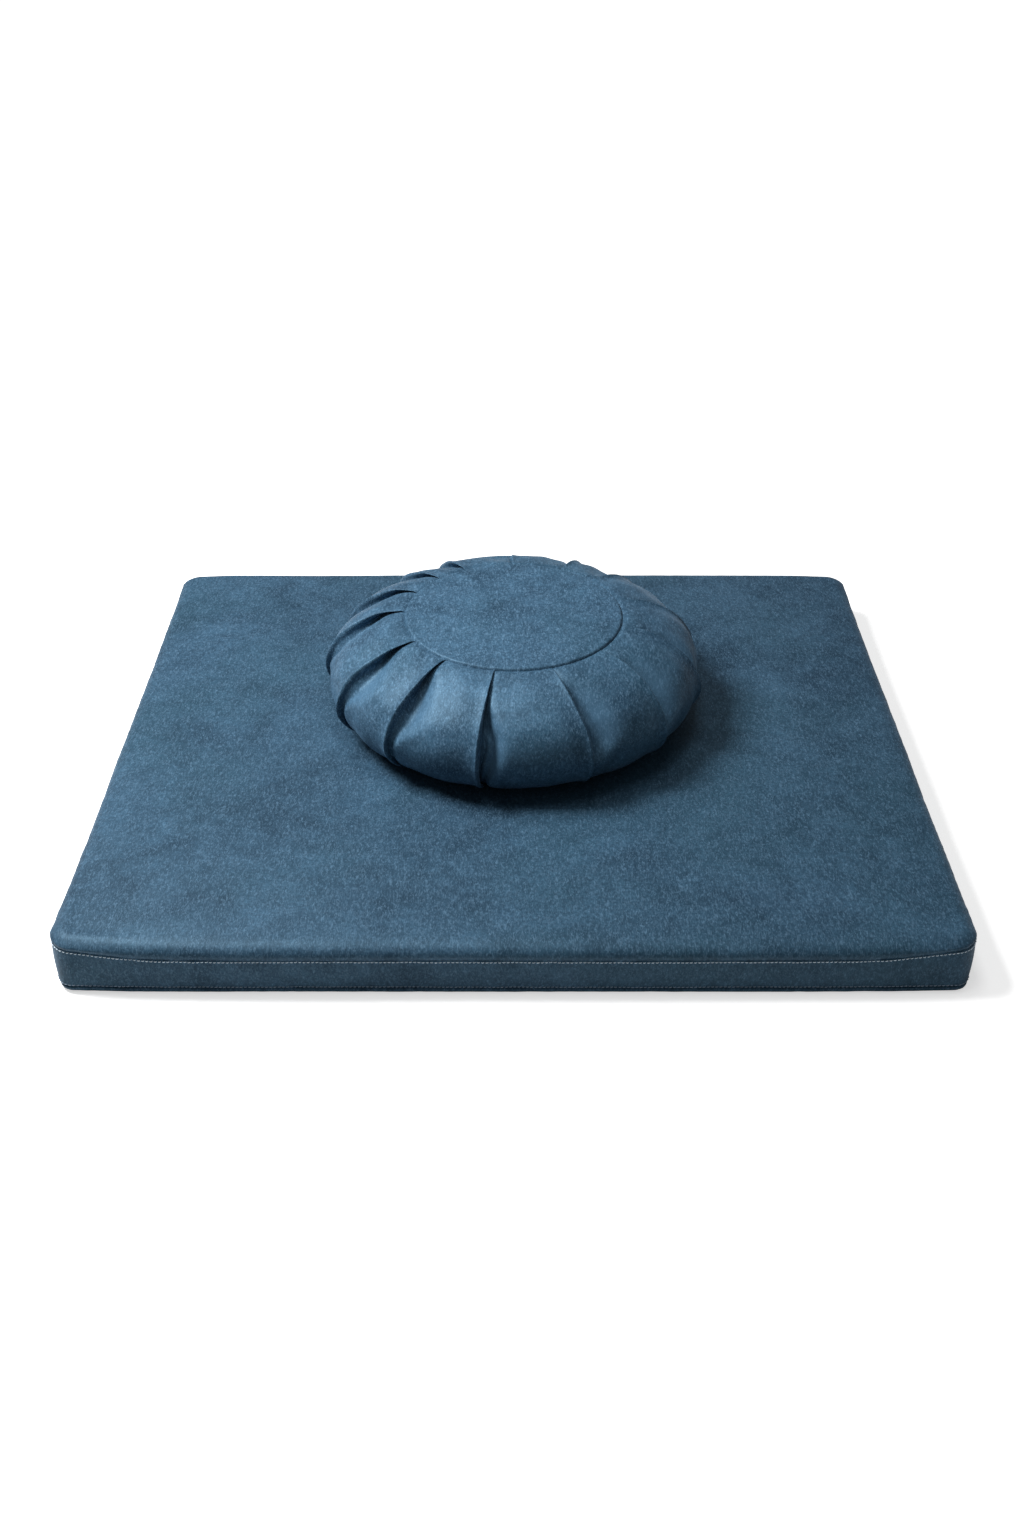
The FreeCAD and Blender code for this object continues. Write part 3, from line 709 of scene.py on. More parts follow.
def build_mat_stitches(rings):
    heights = section(BAND_KEYS, BAND_ROWS)[:, 1]
    for name, node, colour in (("mat_top_stitches", "mat_top_topstitch", STITCHING),
                               ("mat_bottom_stitches", "mat_bottom_topstitch",
                                MID_STITCHING)):
        low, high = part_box(node)
        points, faces = ring_stitches(rings, heights, (low.z + high.z) / 2 / MM)
        mesh_piece(name, points, faces, colour, "mat", "thread", node)
    low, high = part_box("mat_zip_stitching")
    x = np.arange(low.x + STITCH_PITCH, high.x - STITCH_PITCH / 2, STITCH_PITCH)
    centres = [np.column_stack([x, x * 0 + MAT_HALF[1], x * 0 + z])
               for z in (low.z + THREAD / 2, high.z - THREAD / 2)]
    centres = np.concatenate(centres)
    ahead = np.broadcast_to([1.0, 0, 0], centres.shape)
    outward = np.broadcast_to([0, 1.0, 0], centres.shape)
    mesh_piece("mat_zip_stitches", *stitch_row(centres, ahead, outward, 0.1), DARK_STITCHING,
               "mat", "thread", "mat_zip_stitching")


# ---------------------------------------------------------------- mat inside
def slab(name, top_keys, bottom_keys, top_level, bottom_level, top_shape, finish, slot, node):
    """A closed layer of padding between two levels."""
    points, faces = mat_face(edge_rings(top_keys, 5), top_shape, top_level)
    under, under_faces = mat_face(edge_rings(bottom_keys, 3), no_relief, bottom_level,
                                  upward=False)
    faces += [[corner + len(points) for corner in face] for face in under_faces]
    piece = mesh_piece(name, np.concatenate([points, under]), faces, finish, "mat", slot, node)
    weld(piece)
    return piece


LINING_TOP = [(5.0, 41.2), (5.0, 45.0), (7.0, 50.4), (EDGE_INSET, 53.4)]
LINING_BAND = [(5.0, 41.2), (4.6, 33.0), (4.6, 18.0), (6.0, 6.8)]
LINING_BOTTOM = [(6.0, 6.8), (6.2, 4.5), (8.0, 2.2), (EDGE_INSET, 0.9)]
LINING_DROP = 1.4 * MM        # the lining lies below the cover by this
PADDING_DROP = 2.6 * MM       # and the padding by this


def build_mat_lining():
    rings = edge_rings(LINING_TOP, 8)
    top = mesh_piece("mat_lining_top", *mat_face(rings, top_relief, RIM_LEVEL, LINING_DROP),
                     LINING, "mat", "lining_cloth", "mat_liner_top")
    weld(top, False)
    rings = edge_rings(LINING_BOTTOM, 8)
    points, faces = mat_face(rings, no_relief, plain_level(0.9), upward=False)
    bottom = mesh_piece("mat_lining_bottom", points, faces, LINING, "mat", "lining_cloth",
                        "mat_liner_bottom")
    weld(bottom, False)
    rings = [mat_ring(inset, height) for inset, height in LINING_BAND]
    band = mesh_piece("mat_lining_band", rings, grid_faces(len(rings), RING, True), LINING,
                      "mat", "lining_cloth", "mat_liner_band")


def padding_relief(plan):
    return top_relief(plan) - PADDING_DROP


def build_mat_padding():
    low, high = CORE_BOTTOM / MM, CORE_TOP / MM
    over = slab("mat_padding_top",
                [(7.0, high), (7.2, high + 2), (9.5, high + 4.6), (EDGE_INSET, 52.3)],
                [(7.0, high), (EDGE_INSET, high)], RIM_LEVEL, plain_level(high),
                padding_relief, WADDING, "wadding", "mat_wadding_top")
    under = slab("mat_padding_bottom", [(7.4, 4.0), (8.0, low), (EDGE_INSET, low)],
                 [(7.4, 4.0), (9.0, 2.4), (EDGE_INSET, 1.6)], plain_level(low),
                 plain_level(1.6), no_relief, WADDING, "wadding", "mat_wadding_bottom")
    low, high = low + FOAM_GAP, high - FOAM_GAP
    foam = slab("mat_foam", [(6.6, 20.0), (6.4, high - 1.1), (7.4, high), (EDGE_INSET, high)],
                [(6.6, 20.0), (6.8, low + 1.1), (7.8, low), (EDGE_INSET, low)],
                plain_level(high), plain_level(low), no_relief, FOAM, "foam", "mat_foam_core")


# ---------------------------------------------------------------- round cushion
def round_point(angle):
    """Distance from the axis and height on the band's round, at an angle in degrees."""
    turn = np.radians(angle)
    return np.stack([ROUND_R + ROUND * np.cos(turn), ROUND_Z + ROUND * np.sin(turn)], -1)


def zip_angles():
    """The angles on the band's round where the cushion's zip opening starts and ends."""
    edge_run = math.degrees(0.5 * MM / ROUND)
    ends = []
    for node, corner in (("cushion_zip_stop_top", 1), ("cushion_zip_stop_bottom", 0)):
        low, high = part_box(node)
        z = (low.z, high.z)[corner]
        y = low.y
        ends.append(math.degrees(math.atan2(z - ROUND_Z, y - ROUND_Y)))
    return ends[0] + edge_run, ends[1] - edge_run


ZIP_TOP_ANGLE, ZIP_BOTTOM_ANGLE = zip_angles()
STITCH_INSET = 2 * MM         # from the zip's opening to its rows of stitches
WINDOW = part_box("cushion_zip_stitching")[1].x - STITCH_INSET - THREAD / 2


def band_section():
    """Rows down the band: distance from the axis, height, outward direction, and length."""
    seam = np.array([DISC_R, DISC_CROWN_Z - 4 * MM])
    start = round_point(SHOULDER_ANGLE)
    turn = math.radians(SHOULDER_ANGLE)
    inward = -np.array([math.cos(turn), math.sin(turn)])
    chord = seam - start
    radius = (chord @ chord) / (2 * chord @ inward)
    centre = start + inward * radius
    ends = [math.atan2(*(point - centre)[::-1]) for point in (seam, start)]
    sweep = np.linspace(ends[0], ends[1], 34)
    shoulder = centre + radius * np.stack([np.cos(sweep), np.sin(sweep)], -1)
    over = round_point(np.linspace(SHOULDER_ANGLE, ZIP_TOP_ANGLE, 6)[1:])
    zipped = round_point(np.linspace(ZIP_TOP_ANGLE, ZIP_BOTTOM_ANGLE, 27)[1:])
    below = round_point(np.linspace(ZIP_BOTTOM_ANGLE, FOOT_ANGLE, 5)[1:])
    foot = below[-1]
    toe = foot - np.array([1, 0]) * (foot[1] - CUSHION_Z) / math.tan(math.radians(32))
    toe[1] = CUSHION_Z
    bend = 9 * MM
    down = (toe - foot) / np.linalg.norm(toe - foot)
    t = np.linspace(0, 1, 8)[:, None]
    a, c = toe - down * bend, toe + np.array([-bend, 0])
    toe_bend = (1 - t) ** 2 * a + 2 * t * (1 - t) * toe + t**2 * c
    straight = mixed(foot, a, np.linspace(0, 1, 5)[1:-1, None])
    under = mixed(c, np.array([DISC_R, CUSHION_Z]), np.linspace(0, 1, 13)[1:, None])
    rows = np.concatenate([shoulder, over, zipped, below, straight, toe_bend, under])
    ahead = np.gradient(rows, axis=0)
    ahead /= np.linalg.norm(ahead, axis=1)[:, None]
    outward = np.stack([-ahead[:, 1], ahead[:, 0]], -1)
    length = np.r_[0, np.cumsum(np.linalg.norm(np.diff(rows, axis=0), axis=1))]
    first = len(shoulder) + len(over) - 1
    return rows, outward, length / MM, first, first + len(zipped)


BAND, BAND_OUT, BAND_RUN, WINDOW_FIRST, WINDOW_LAST = band_section()

# Each pleat: its angle at the seam (0 is +X, 90 the back, 270 the front), how far it drifts by
# the widest ring, and there its depth and the width of the valley beside its fold, in mm.
PLEATS = [
    (16, -2, 12, 27), (43, 3, 10, 21), (64, 2, 9, 18), (91, -1, 0, 0), (118, -1, 10, 18),
    (135, -3, 11, 21), (155, 2, 12, 24), (177, 2, 12, 28), (209, -3, 13, 35), (234, -3, 13, 33),
    (261, -1, 24, 21), (290, 3, 17, 34), (321, -1, 16, 34), (349, -2, 13, 27),
]
WIDEST_RUN = 116.0            # mm along the band from the top seam to its widest ring
TOE_RUN = 186.0               # and to the toe, where it turns in under the cushion
END_RUN = BAND_RUN[-1]
DEEP_FRONT = 20               # mm; a deeper pleat opens at the front's widest ring


def pleat_shape(deep, valley):
    """Depth, valley width and overlap of one pleat down the band, in mm."""
    front = deep > DEEP_FRONT
    end = END_RUN
    if front:
        depth = [(0, 2.4), (20, 4.5), (45, 0.36 * deep), (70, 0.75 * deep), (95, deep),
                 (120, deep), (145, 0.72 * deep), (TOE_RUN, 5), (end, 2.4)]
        width = [(0, 1), (25, 1.5), (50, 0.16 * valley), (66, 0.5 * valley), (86, 0.95 * valley),
                 (112, valley), (138, 0.55 * valley), (160, 0.2 * valley), (TOE_RUN, 2), (end, 1)]
        fold = [(0, 20), (30, 13), (60, 6), (85, 3), (116, 3), (145, 5), (TOE_RUN, 9), (end, 20)]
    elif deep == 0:
        depth = [(0, 2.4), (16, 4.5), (32, 3.0), (48, 0.3), (60, 0), (170, 0), (200, 2),
                 (end, 2.4)]
        width = [(0, 1), (16, 3), (32, 6), (48, 12), (60, 14), (170, 14), (200, 4), (end, 1)]
        fold = [(0, 20), (16, 8), (32, 1), (44, 0), (60, 0), (180, 0), (205, 6), (end, 20)]
    else:
        late = 1.12 if deep > 15.5 else 1.0
        depth = [(0, 2.4), (18, 0.34 * deep), (40, 0.78 * deep), (64 * late, deep),
                 (92 * late, 0.80 * deep), (WIDEST_RUN * late, 3.4), (144, 3.2), (TOE_RUN, 4),
                 (end, 2.4)]
        width = [(0, 1), (18, 0.14 * valley), (40, 0.52 * valley), (64 * late, 0.92 * valley),
                 (92 * late, valley), (WIDEST_RUN * late, 0.34 * valley), (144, 5),
                 (TOE_RUN, 2), (end, 1)]
        fold = [(0, 20), (30, 11), (48, 5), (66, 2.0), (92 * late, 0.3),
                (WIDEST_RUN * late, 1.2), (144, 3.5), (TOE_RUN, 9), (end, 20)]
    return [along_curve(keys, BAND_RUN) for keys in (depth, width, fold)]


def rises(start, over):
    """Down the band: 0 up to start, then a smooth rise to 1 over a length in mm."""
    return ease((BAND_RUN - start) / over)


def falls(end, over):
    """Down the band: 1, then a smooth fall to 0 that is done at end."""
    return ease((end - BAND_RUN) / over)


FACE_SHARES = (0.10, 0.26, 0.42, 0.58, 0.74, 0.88)
# painted sheen highlight carried by each control of a pleat and its panel: most on the valley's
# far slope
PAINTED_SHEEN_SHARES = (0, 0, 0, 0, 0.25, 0.8, 1.0, 0.75, 0.12, 0, 0, 0, 0, 0, 0)
SAMPLES = 4                   # points between two controls of the band's outline
ZIP_PLEAT = 3                 # the zip lies below this pleat, counted from 0
ZIP_SHARE = rises(34, 24) * falls(205, 18)
ZIP_GAP = 13.0                # mm that the panel before the zip ends short of it
PANEL_RISE = 4.6              # mm that a panel climbs towards the fold at its end
KNUCKLE = 3.2                 # mm that each fold stands out round the widest ring
KNUCKLE_RUN, KNUCKLE_LENGTH = 122, 20


def fold_controls(shape, lip, ridge, rise, knuckle):
    """Fold, return and underlay of a pleat: distance past its line, and height, in mm."""
    depth, width, fold = shape
    return [
        (-1.8, lip - 0.3 + knuckle + 0.5 * rise),
        (0.2 + 0.02 * width, 0.35 * lip - 0.22 * depth + knuckle + 0.35 * rise),
        (-0.45 * fold + 0.04 * width, -0.42 * depth),
        (-fold + 0.12 * width, -0.62 * depth),
        (-fold + 0.22 * width, -0.95 * depth),
        (-0.45 * fold + 0.42 * width, -(1.05 - ridge) * depth),
        (0.60 * width, -(0.58 + ridge * 0.6) * depth),
        (0.95 * width + 1.0, -0.10 * depth + 0.5 * knuckle - 0.35 * rise),
    ]


def closed_spline(controls, turn=0.0):
    """Points of the closed cubic B-spline through each row; turn is added once round."""
    rolled = [np.roll(controls, -k, axis=1) for k in range(4)]
    for k in range(1, 4):
        rolled[k][:, -k:] += turn
    samples = []
    for t in np.arange(SAMPLES) / SAMPLES:
        weights = ((1 - t) ** 3 / 6, (3 * t**3 - 6 * t**2 + 4) / 6,
                   (-3 * t**3 + 3 * t**2 + 3 * t + 1) / 6, t**3 / 6)
        samples.append(sum(weight * each for weight, each in zip(weights, rolled)))
    return np.stack(samples, -1).reshape(len(controls), -1)


def band_outline():
    """The pleated band: angle, height over the plain section and painted sheen highlight, by row.

    Every row is one closed curve. It runs along each panel's face, round the fold at its end,
    back under the fold, and out again as the next panel."""
    radius = BAND[:, 0] / MM
    drift = ease(BAND_RUN / WIDEST_RUN)
    lines = [np.radians(angle + turn * drift) for angle, turn, deep, valley in PLEATS]
    random = np.random.default_rng(8)
    loose = rises(4, 20) * falls(END_RUN - 4, 20)
    angles, heights, painted_sheen = [], [], []
    for number, (_, _, deep, valley) in enumerate(PLEATS):
        shape = pleat_shape(deep, valley)
        depth, width, _ = shape
        line = lines[number]
        after = (number + 1) % len(PLEATS)
        panel = (lines[after] + (math.tau if after == 0 else 0) - line) * radius
        lip = 0.6 + 0.6 * random.random()
        quiet = 1.0 if deep else 1 - rises(30, 20) * falls(195, 15)
        ridge = 0.5 * rises(70, 20) if deep > DEEP_FRONT else 0.0
        rise = PANEL_RISE * rises(6, 30) * falls(TOE_RUN, 60) * quiet
        knuckle = KNUCKLE * np.exp(-((BAND_RUN - KNUCKLE_RUN) / KNUCKLE_LENGTH) ** 2)
        knuckle = knuckle * quiet * (deep > 0)
        for run, height in fold_controls(shape, lip * quiet, ridge, rise, knuckle):
            angles.append(line + run / radius)
            heights.append(height)
        # painted sheen highlight: how much each pleat's valley gets, more where the pleat is deep
        inside = np.clip(depth / max(deep, 1) - 0.15, 0, 1) * rises(14, 30)
        inside = inside * (deep > 0) * min(max(deep, 1) / 13, 1)
        painted_sheen += [inside * amount for amount in PAINTED_SHEEN_SHARES]
        begin = width + 5.0
        gap = ZIP_GAP * ZIP_SHARE * (after == ZIP_PLEAT)
        finish = panel - 7.0 - gap
        crown = (3.4 + 1.8 * random.random()) * loose * quiet
        lean = random.uniform(-0.12, 0.12)
        for share in FACE_SHARES:
            hill = math.sin(math.pi * (share * 0.86 + 0.07 + lean * share * (1 - share)))
            rim = 1.2 * ease((depth - 5) / 6) * (1 - share) ** 4 * quiet
            angles.append(line + (begin + (finish - begin) * share) / radius)
            heights.append(crown * (hill ** 0.8 - 1) * (0.35 + 0.65 * ease(share * 3)) + rim
                           + rise * (share - 0.5) * 0.9)
        after_lip = 0.5 * (1 if PLEATS[after][2] else quiet)
        angles.append(line + (panel - 4.0 - gap) / radius)
        heights.append(after_lip - crown * 0.5 + 0.6 * knuckle + 0.45 * rise)
    return (closed_spline(np.array(angles).T, math.tau),
            closed_spline(np.array(heights).T * MM), closed_spline(np.array(painted_sheen).T))


CONTROLS = len(PAINTED_SHEEN_SHARES)   # of each pleat and its panel
ZIP_COLUMNS = np.arange((ZIP_PLEAT * CONTROLS - 2) * SAMPLES + 1,
                        (ZIP_PLEAT * CONTROLS + 7) * SAMPLES)


def band_points():
    """The band's points by row and column, with a straight-sided zone for the zip."""
    angle, height, nap_and_sheen = band_outline()
    radius = BAND[:, :1]
    zip_rows = ZIP_SHARE[:, None]
    across = np.linspace(-ZIP_FLAT, ZIP_FLAT, len(ZIP_COLUMNS))
    left = np.argmin(np.abs(across + WINDOW))
    right = np.argmin(np.abs(across - WINDOW))
    keys = [0, left, right, len(across) - 1]
    across = np.interp(np.arange(len(across)), keys, [-ZIP_FLAT, -WINDOW, WINDOW, ZIP_FLAT])
    straight = math.pi / 2 + np.arcsin(across / radius)
    angle[:, ZIP_COLUMNS] = mixed(angle[:, ZIP_COLUMNS], straight, zip_rows)
    from_zip = np.abs(angle - math.pi / 2) * radius
    free = 1 - (1 - ease((from_zip - ZIP_FLAT) / ZIP_FADE)) * zip_rows
    # loose cloth: long soft hollows, fine gathers by the seams, all gone at the zip
    plain_z = np.broadcast_to(BAND[:, 1:], angle.shape)
    spot = np.stack([radius * np.cos(angle), radius * np.sin(angle), plain_z], -1)
    run = BAND_RUN[:, None]
    seam_near = np.exp(-run / GATHER_RUN) + np.exp(-(END_RUN - run) / GATHER_RUN)
    turn = np.stack([np.cos(angle), np.sin(angle)], -1) * DISC_R
    gathers = ripples(turn, 5 * MM, 31, 15) + 0.8 * ripples(turn, 11 * MM, 32, 15)
    drape = 1.1 * MM * ripples(spot, 55 * MM, 33) + 0.45 * MM * ripples(spot, 22 * MM, 34)
    loose = ease(run / 12) * ease((END_RUN - run) / 12)
    height = (height + drape * loose - 0.35 * MM + gathers * 0.55 * MM * seam_near) * free
    # both edges are drawn down into their seams
    edge = ease(np.minimum(run, END_RUN - run) / DRAWN_RUN)
    height = mixed(-SEAM_SINK + 0.25 * height, height, edge)
    r = radius + height * BAND_OUT[:, :1]
    z = np.maximum(plain_z + height * BAND_OUT[:, 1:], CUSHION_Z + 0.1 * MM * (1 - edge))
    # beside the zip the band is straight across, as the zip is
    behind = np.sin(angle) > 0
    zone = zip_rows * (1 - ease((from_zip - ZIP_FLAT) / ZIP_STRAIGHT_FADE)) * behind
    y = mixed(AXIS[1] + r * np.sin(angle), AXIS[1] + r, zone)
    return np.stack([AXIS[0] + r * np.cos(angle), y, z], -1), nap_and_sheen, left, right


def build_cushion_band():
    """The pleated band, with the zip's opening cut out and its edges folded in."""
    points, nap_and_sheen, left, right = band_points()
    rows, columns = points.shape[:2]
    first, last = ZIP_COLUMNS[left], ZIP_COLUMNS[right]

    def opening(i, j):
        return (i >= WINDOW_FIRST) & (i < WINDOW_LAST) & (j >= first) & (j < last)

    faces = grid_faces(rows, columns, True, skip=opening)
    extra = []
    count = rows * columns
    window = np.arange(WINDOW_FIRST, WINDOW_LAST + 1)
    for column, side in ((first, 1), (last, -1)):
        edge = points[window, column]
        out = np.stack([0 * window, BAND_OUT[window, 0], BAND_OUT[window, 1]], -1)
        turned_in = edge - out * 0.5 * MM - np.array([side * 0.1 * MM, 0, 0])
        tucked = edge - out * 0.8 * MM + np.array([side * 0.9 * MM, 0, 0])
        fold = np.array([turned_in, tucked])
        extra.append(fold.reshape(-1, 3))
        for k in range(len(window) - 1):
            a, b = window[k] * columns + column, window[k + 1] * columns + column
            c, d = count + k, count + k + 1
            e, f = c + len(window), d + len(window)
            strips = [[a, b, d, c], [c, d, f, e]]
            faces += strips if side > 0 else [strip[::-1] for strip in strips]
        count += 2 * len(window)
    cloud = np.concatenate([points.reshape(-1, 3), *extra])
    band = mesh_piece("cushion_band_cover", cloud, faces, CUSHION_SUEDE, "round_cushion",
                      "cover_cloth", "cushion_side_band")
    # the painted sheen highlight is stored on each point, for the suede to read
    values = np.zeros(len(cloud))
    values[:nap_and_sheen.size] = nap_and_sheen.ravel()
    band.data.attributes.new(PAINTED_SHEEN_NAME, "FLOAT", "POINT").data.foreach_set("value", values)


DISC_COLUMNS = 300
DISC_ROLL = 3.2 * MM          # a disc's edge rolls over into its seam over this width


def dome_disc(radius, edge_height, crown, rise, sink, seed, upward=True):
    """A round panel: rings out from its middle that roll over into the seam."""
    rings = np.r_[np.linspace(0.0, 0.90, 34)[1:], np.linspace(0.90, 1.0, 14)[1:]][:, None]
    turn = np.arange(DISC_COLUMNS) / DISC_COLUMNS * math.tau
    rim = np.broadcast_to(np.stack([np.cos(turn), np.sin(turn)], -1) * radius,
                          (len(rings), DISC_COLUMNS, 2))
    flat = rings[..., None] * rim
    inset = (1 - rings) * radius
    roll = 1 - np.sqrt(1 - np.clip(1 - inset / DISC_ROLL, 0, 1) ** 2)
    height = crown * (1 - rings**2) + rise - (rise + sink) * roll
    uneven = 0.9 * MM * ripples(flat, 60 * MM, seed) + 0.25 * MM * ripples(flat, 24 * MM, seed + 1)
    puckers = 0.35 * MM * ripples(rim, 7 * MM, seed + 2, 13)
    height = height + uneven * ease(inset / (25 * MM))
    height = height + puckers * np.exp(-((inset / (7 * MM)) - 0.5) ** 2)
    z = edge_height + (height if upward else -height)
    points = np.concatenate([flat + AXIS, z[..., None]], -1)
    cloud = np.concatenate([[points[0].mean(axis=0)], points.reshape(-1, 3)])
    faces = grid_faces(len(rings), DISC_COLUMNS, True, 1)
    k = np.arange(DISC_COLUMNS)
    faces += np.stack([0 * k, 1 + k, 1 + (k + 1) % DISC_COLUMNS], -1).tolist()
    return cloud, faces if upward else [face[::-1] for face in faces]


def build_cushion_discs():
    seam = DISC_CROWN_Z - 4 * MM
    top = mesh_piece("cushion_top_cover", *dome_disc(DISC_R, seam, 3.0 * MM, 0.7 * MM, SEAM_SINK,
                                                     51), CUSHION_SUEDE, "round_cushion",
                     "cover_cloth", "cushion_top_disc")
    points, faces = dome_disc(DISC_R, CUSHION_Z + 0.5 * MM, 0.0, 0.35 * MM, SEAM_SINK, 61, False)
    points[:, 2] = np.maximum(points[:, 2], CUSHION_Z + 0.05 * MM)
    bottom = mesh_piece("cushion_bottom_cover", points, faces, CUSHION_SUEDE, "round_cushion",
                        "cover_cloth", "cushion_bottom_disc")


INNER_COLUMNS = 240


def inner_band(inset):
    """A layer inside the band: it lies in by an inset in mm, and further under each pleat."""
    turn = np.arange(INNER_COLUMNS) / INNER_COLUMNS * math.tau
    clear = np.full((len(BAND_RUN), INNER_COLUMNS), inset)
    for angle, drift, deep, valley in PLEATS:
        depth, width, fold = pleat_shape(deep, valley)
        line = np.radians(angle + drift * ease(BAND_RUN / WIDEST_RUN))[:, None]
        away = (turn - line + math.pi) % math.tau - math.pi
        away = away * BAND[:, :1] / MM - (width * 0.6 - fold * 0.3)[:, None]
        reach = (10 + width * 0.8 + fold * 0.6)[:, None]
        clear += (depth * 1.1)[:, None] * np.exp(-(away / reach) ** 2)
    inward = clear * MM * ease(BAND_RUN / 6 + 0.55)[:, None]
    r = BAND[:, :1] - inward * BAND_OUT[:, :1]
    z = BAND[:, 1:] - inward * BAND_OUT[:, 1:]
    return np.stack([AXIS[0] + r * np.cos(turn), AXIS[1] + r * np.sin(turn), z], -1)


def build_cushion_filling():
    """The loose fibre: the inner layer's shape, closed over at both ends."""
    points = inner_band(6.5)
    rows = len(points)
    ends = [points[0].mean(axis=0) + [0, 0, 1.5 * MM], points[-1].mean(axis=0)]
    faces = grid_faces(rows, INNER_COLUMNS, True)
    k = np.arange(INNER_COLUMNS)
    k2 = (k + 1) % INNER_COLUMNS
    middle, rim = rows * INNER_COLUMNS, (rows - 1) * INNER_COLUMNS
    faces += np.stack([0 * k + middle, k, k2], -1).tolist()
    faces += np.stack([0 * k + middle + 1, rim + k2, rim + k], -1).tolist()
    cloud = np.concatenate([points.reshape(-1, 3), ends])
    fibre = mesh_piece("cushion_fibre", cloud, faces, FIBRE, "round_cushion", "fibre_fill",
                       "cushion_filling")


def build_cushion_lining_band():
    points = inner_band(5.0)
    band = mesh_piece("cushion_lining_band", points, grid_faces(*points.shape[:2], True), LINING,
                      "round_cushion", "lining_cloth", "cushion_liner_band")


def build_cushion_lining_discs():
    for side, height, crown in (("top", DISC_CROWN_Z - 7.4 * MM, 2.4 * MM),
                                ("bottom", CUSHION_Z + 4.4 * MM, 0.0)):
        points, faces = dome_disc(DISC_R - 3 * MM, height, crown, 0.3 * MM, 0.4 * MM, 71,
                                  side == "top")
        disc = mesh_piece("cushion_lining_" + side, points, faces, LINING, "round_cushion",
                          "lining_cloth", "cushion_liner_" + side)


def build_cushion_zip_stitches():
    spread = np.radians(np.arange(ZIP_BOTTOM_ANGLE + 2, ZIP_TOP_ANGLE - 1,
                                  math.degrees(STITCH_PITCH / ROUND)))
    centres, ahead, outward = [], [], []
    for x in (-WINDOW - STITCH_INSET, WINDOW + STITCH_INSET):
        out = np.stack([0 * spread, np.cos(spread), np.sin(spread)], -1)
        centres.append(out * ROUND + np.array([AXIS[0] + x, ROUND_Y, ROUND_Z]))
        ahead.append(np.stack([0 * spread, -np.sin(spread), np.cos(spread)], -1))
        outward.append(out)
    points, faces = stitch_row(*(np.concatenate(part) for part in (centres, ahead, outward)), 0.1)
    mesh_piece("cushion_zip_stitches", points, faces, DARK_STITCHING, "round_cushion", "thread",
               "cushion_zip_stitching")


# ---------------------------------------------------------------- zips
COIL_PITCH = 1.5 * MM
COIL_THICK = 1.8 * MM
COIL_STEPS = 12               # points on each turn of a coil
WIRE = 0.55 * MM


def coil_path(length, wide, high):
    """A wound coil along X: its loops fill a width in Y and a height in Z."""
    turns = int(length / COIL_PITCH)
    angle = np.arange(turns * COIL_STEPS + 1) / COIL_STEPS * math.tau
    along = (angle / math.tau - turns / 2) * COIL_PITCH
    return np.column_stack([along, np.cos(angle) * (wide - WIRE) / 2,
                            np.sin(angle) * (high - WIRE) / 2])


def coil_piece(name, path, body, node):
    """A zip's coil as one round wire along its path."""
    points, faces = tubes([path], np.full((1, len(path)), WIRE / 2), 5)
    mesh_piece(name, points, faces, NYLON, body, "zip_coil", node)


def build_mat_coils():
    for name in ("upper", "lower"):
        low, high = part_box("mat_zip_coil_" + name)
        size, middle = high - low, (high + low) / 2
        path = coil_path(size.x, size.z, size.y)
        path = np.column_stack([path[:, 0] + middle.x, path[:, 2] + middle.y,
                                path[:, 1] + middle.z])
        coil_piece("mat_coil_" + name, path, "mat", "mat_zip_coil_" + name)


def build_cushion_coils():
    for name in ("left", "right"):
        low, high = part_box("cushion_zip_coil_" + name)
        middle = high.y - ROUND_Y - COIL_THICK / 2
        span = math.radians(ZIP_TOP_ANGLE - ZIP_BOTTOM_ANGLE) - 5 * MM / ROUND
        path = coil_path(span * middle, high.x - low.x, COIL_THICK)
        centre = math.radians(ZIP_TOP_ANGLE + ZIP_BOTTOM_ANGLE) / 2
        turn = centre + path[:, 0] / middle
        reach = middle + path[:, 2]
        path = np.column_stack([path[:, 1] + (low.x + high.x) / 2,
                                ROUND_Y + np.cos(turn) * reach, ROUND_Z + np.sin(turn) * reach])
        coil_piece("cushion_coil_" + name, path, "round_cushion", "cushion_zip_coil_" + name)


def finish_node(node, finish):
    """Gives a CAD node one of the finishes."""
    piece = frame["nodes"][node]
    piece.data.materials.clear()
    piece.data.materials.append(finish)


def finish_zip_parts():
    for cushion, tapes in (("mat", ("upper", "lower")), ("cushion", ("left", "right"))):
        for tape in tapes:
            finish_node(f"{cushion}_zip_tape_{tape}", TAPE)
        for metal in ("slider", "pull_tab"):
            finish_node(f"{cushion}_zip_{metal}", ZINC)
    for stop in ("mat_zip_stop_closed", "mat_zip_stop_open", "cushion_zip_stop_top",
                 "cushion_zip_stop_bottom"):
        finish_node(stop, ZINC)


# ---------------------------------------------------------------- build
mat_rings = build_mat_cover()
build_mat_zip_strips()
build_mat_stitches(mat_rings)
build_mat_lining()
build_mat_padding()
build_mat_coils()
build_cushion_band()
build_cushion_discs()
build_cushion_lining_band()
build_cushion_filling()
build_cushion_lining_discs()
build_cushion_zip_stitches()
build_cushion_coils()
finish_zip_parts()


# ---------------------------------------------------------------- studio
FLOOR_REACH = 12.0
FLOOR_CLEARANCE = 0.4 * MM    # under the mat, so that the two are never level
LIT_POINT = (0, 0, 0.05)
CAMERA_PLACE = (-0.0016, -1.414, 0.974)
CAMERA_DIP = 34.6             # degrees below level


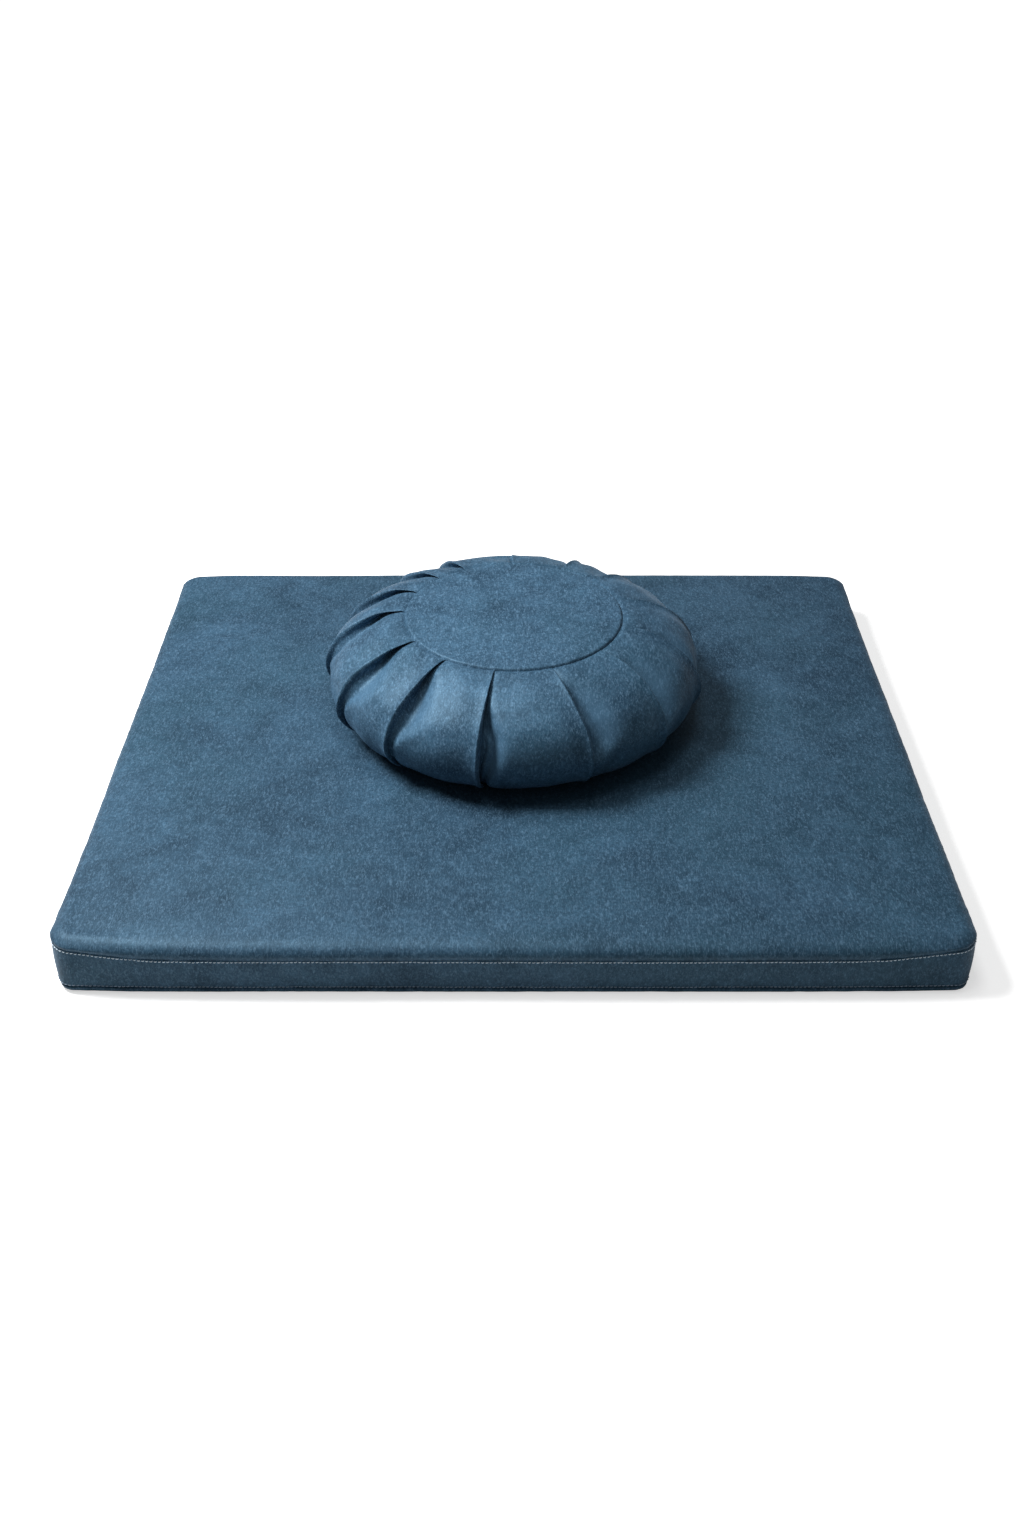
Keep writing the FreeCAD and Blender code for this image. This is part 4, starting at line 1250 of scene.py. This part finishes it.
def floor_finish():
    """Matt white paper that also glows to the camera: painted light, fainter near the middle and
    stronger far off, where the lamps fall off.
    """
    made = Finish("studio_paper", Roughness=0.9, Specular_IOR_Level=0.1)
    tooth = made.noise(3 * MM, detail=2.0)
    seen = made.node("LightPath", output="Is Camera Ray")
    away = made.node("VectorMath", output="Value", settings=[("operation", "LENGTH")],
                     Vector=made.place)
    # painted light: the glow, seen only by the camera, rises with distance from the middle
    glow = seen * (0.58 + away.stepped(0.7, 2.0) * 0.40)
    made.shine(Base_Color=made.blend(tooth, (0.71, 0.71, 0.71), (0.73, 0.73, 0.73)),
               Emission_Color=made.blend(glow.clamped(), (0.0, 0.0, 0.0), (1.0, 1.0, 1.0)),
               Emission_Strength=1.0)
    return made.material


def build_studio():
    mesh = bpy.data.meshes.new("studio_floor")
    corners = [(-1, -1), (1, -1), (1, 1), (-1, 1)]
    mesh.from_pydata([(x * FLOOR_REACH, y * FLOOR_REACH, 0) for x, y in corners], [],
                     [(0, 1, 2, 3)])
    mesh.materials.append(floor_finish())
    floor = bpy.data.objects.new("studio_floor", mesh)
    floor.location.z = -FLOOR_CLEARANCE
    bpy.context.collection.objects.link(floor)


def area_light(name, place, size, power):
    lamp = bpy.data.lights.new(name, "AREA")
    lamp.shape = "RECTANGLE"
    lamp.size, lamp.size_y = size
    lamp.energy = power
    light = bpy.data.objects.new(name, lamp)
    light.location = place
    aim = Vector(LIT_POINT) - Vector(place)
    light.rotation_euler = aim.to_track_quat("-Z", "Y").to_euler()
    bpy.context.collection.objects.link(light)


def build_lights():
    area_light("window_light", (-1.15, 0.20, 1.68), (0.7, 0.7), 68)
    area_light("overhead_light", (-0.1, 0.0, 2.2), (1.1, 0.6), 12)
    world = bpy.data.worlds.new("studio_air")
    world.use_nodes = True
    tree = world.node_tree
    air = tree.nodes["Background"]
    air.inputs["Color"].default_value = (1, 1, 1, 1)
    seen = Field(tree, tree.nodes.new("ShaderNodeLightPath").outputs["Is Camera Ray"])
    feed(tree, air.inputs["Strength"], 0.17 + seen * 0.83)
    bpy.context.scene.world = world
    bpy.context.scene.view_settings.view_transform = "Standard"


def build_camera():
    camera = bpy.data.cameras.new("camera")
    camera.lens = 35.51
    camera.sensor_width = 36.0
    view = bpy.data.objects.new("camera", camera)
    view.location = CAMERA_PLACE
    view.rotation_euler = (math.radians(90 - CAMERA_DIP), 0, 0)
    bpy.context.collection.objects.link(view)
    bpy.context.scene.camera = view


build_studio()
build_lights()
build_camera()
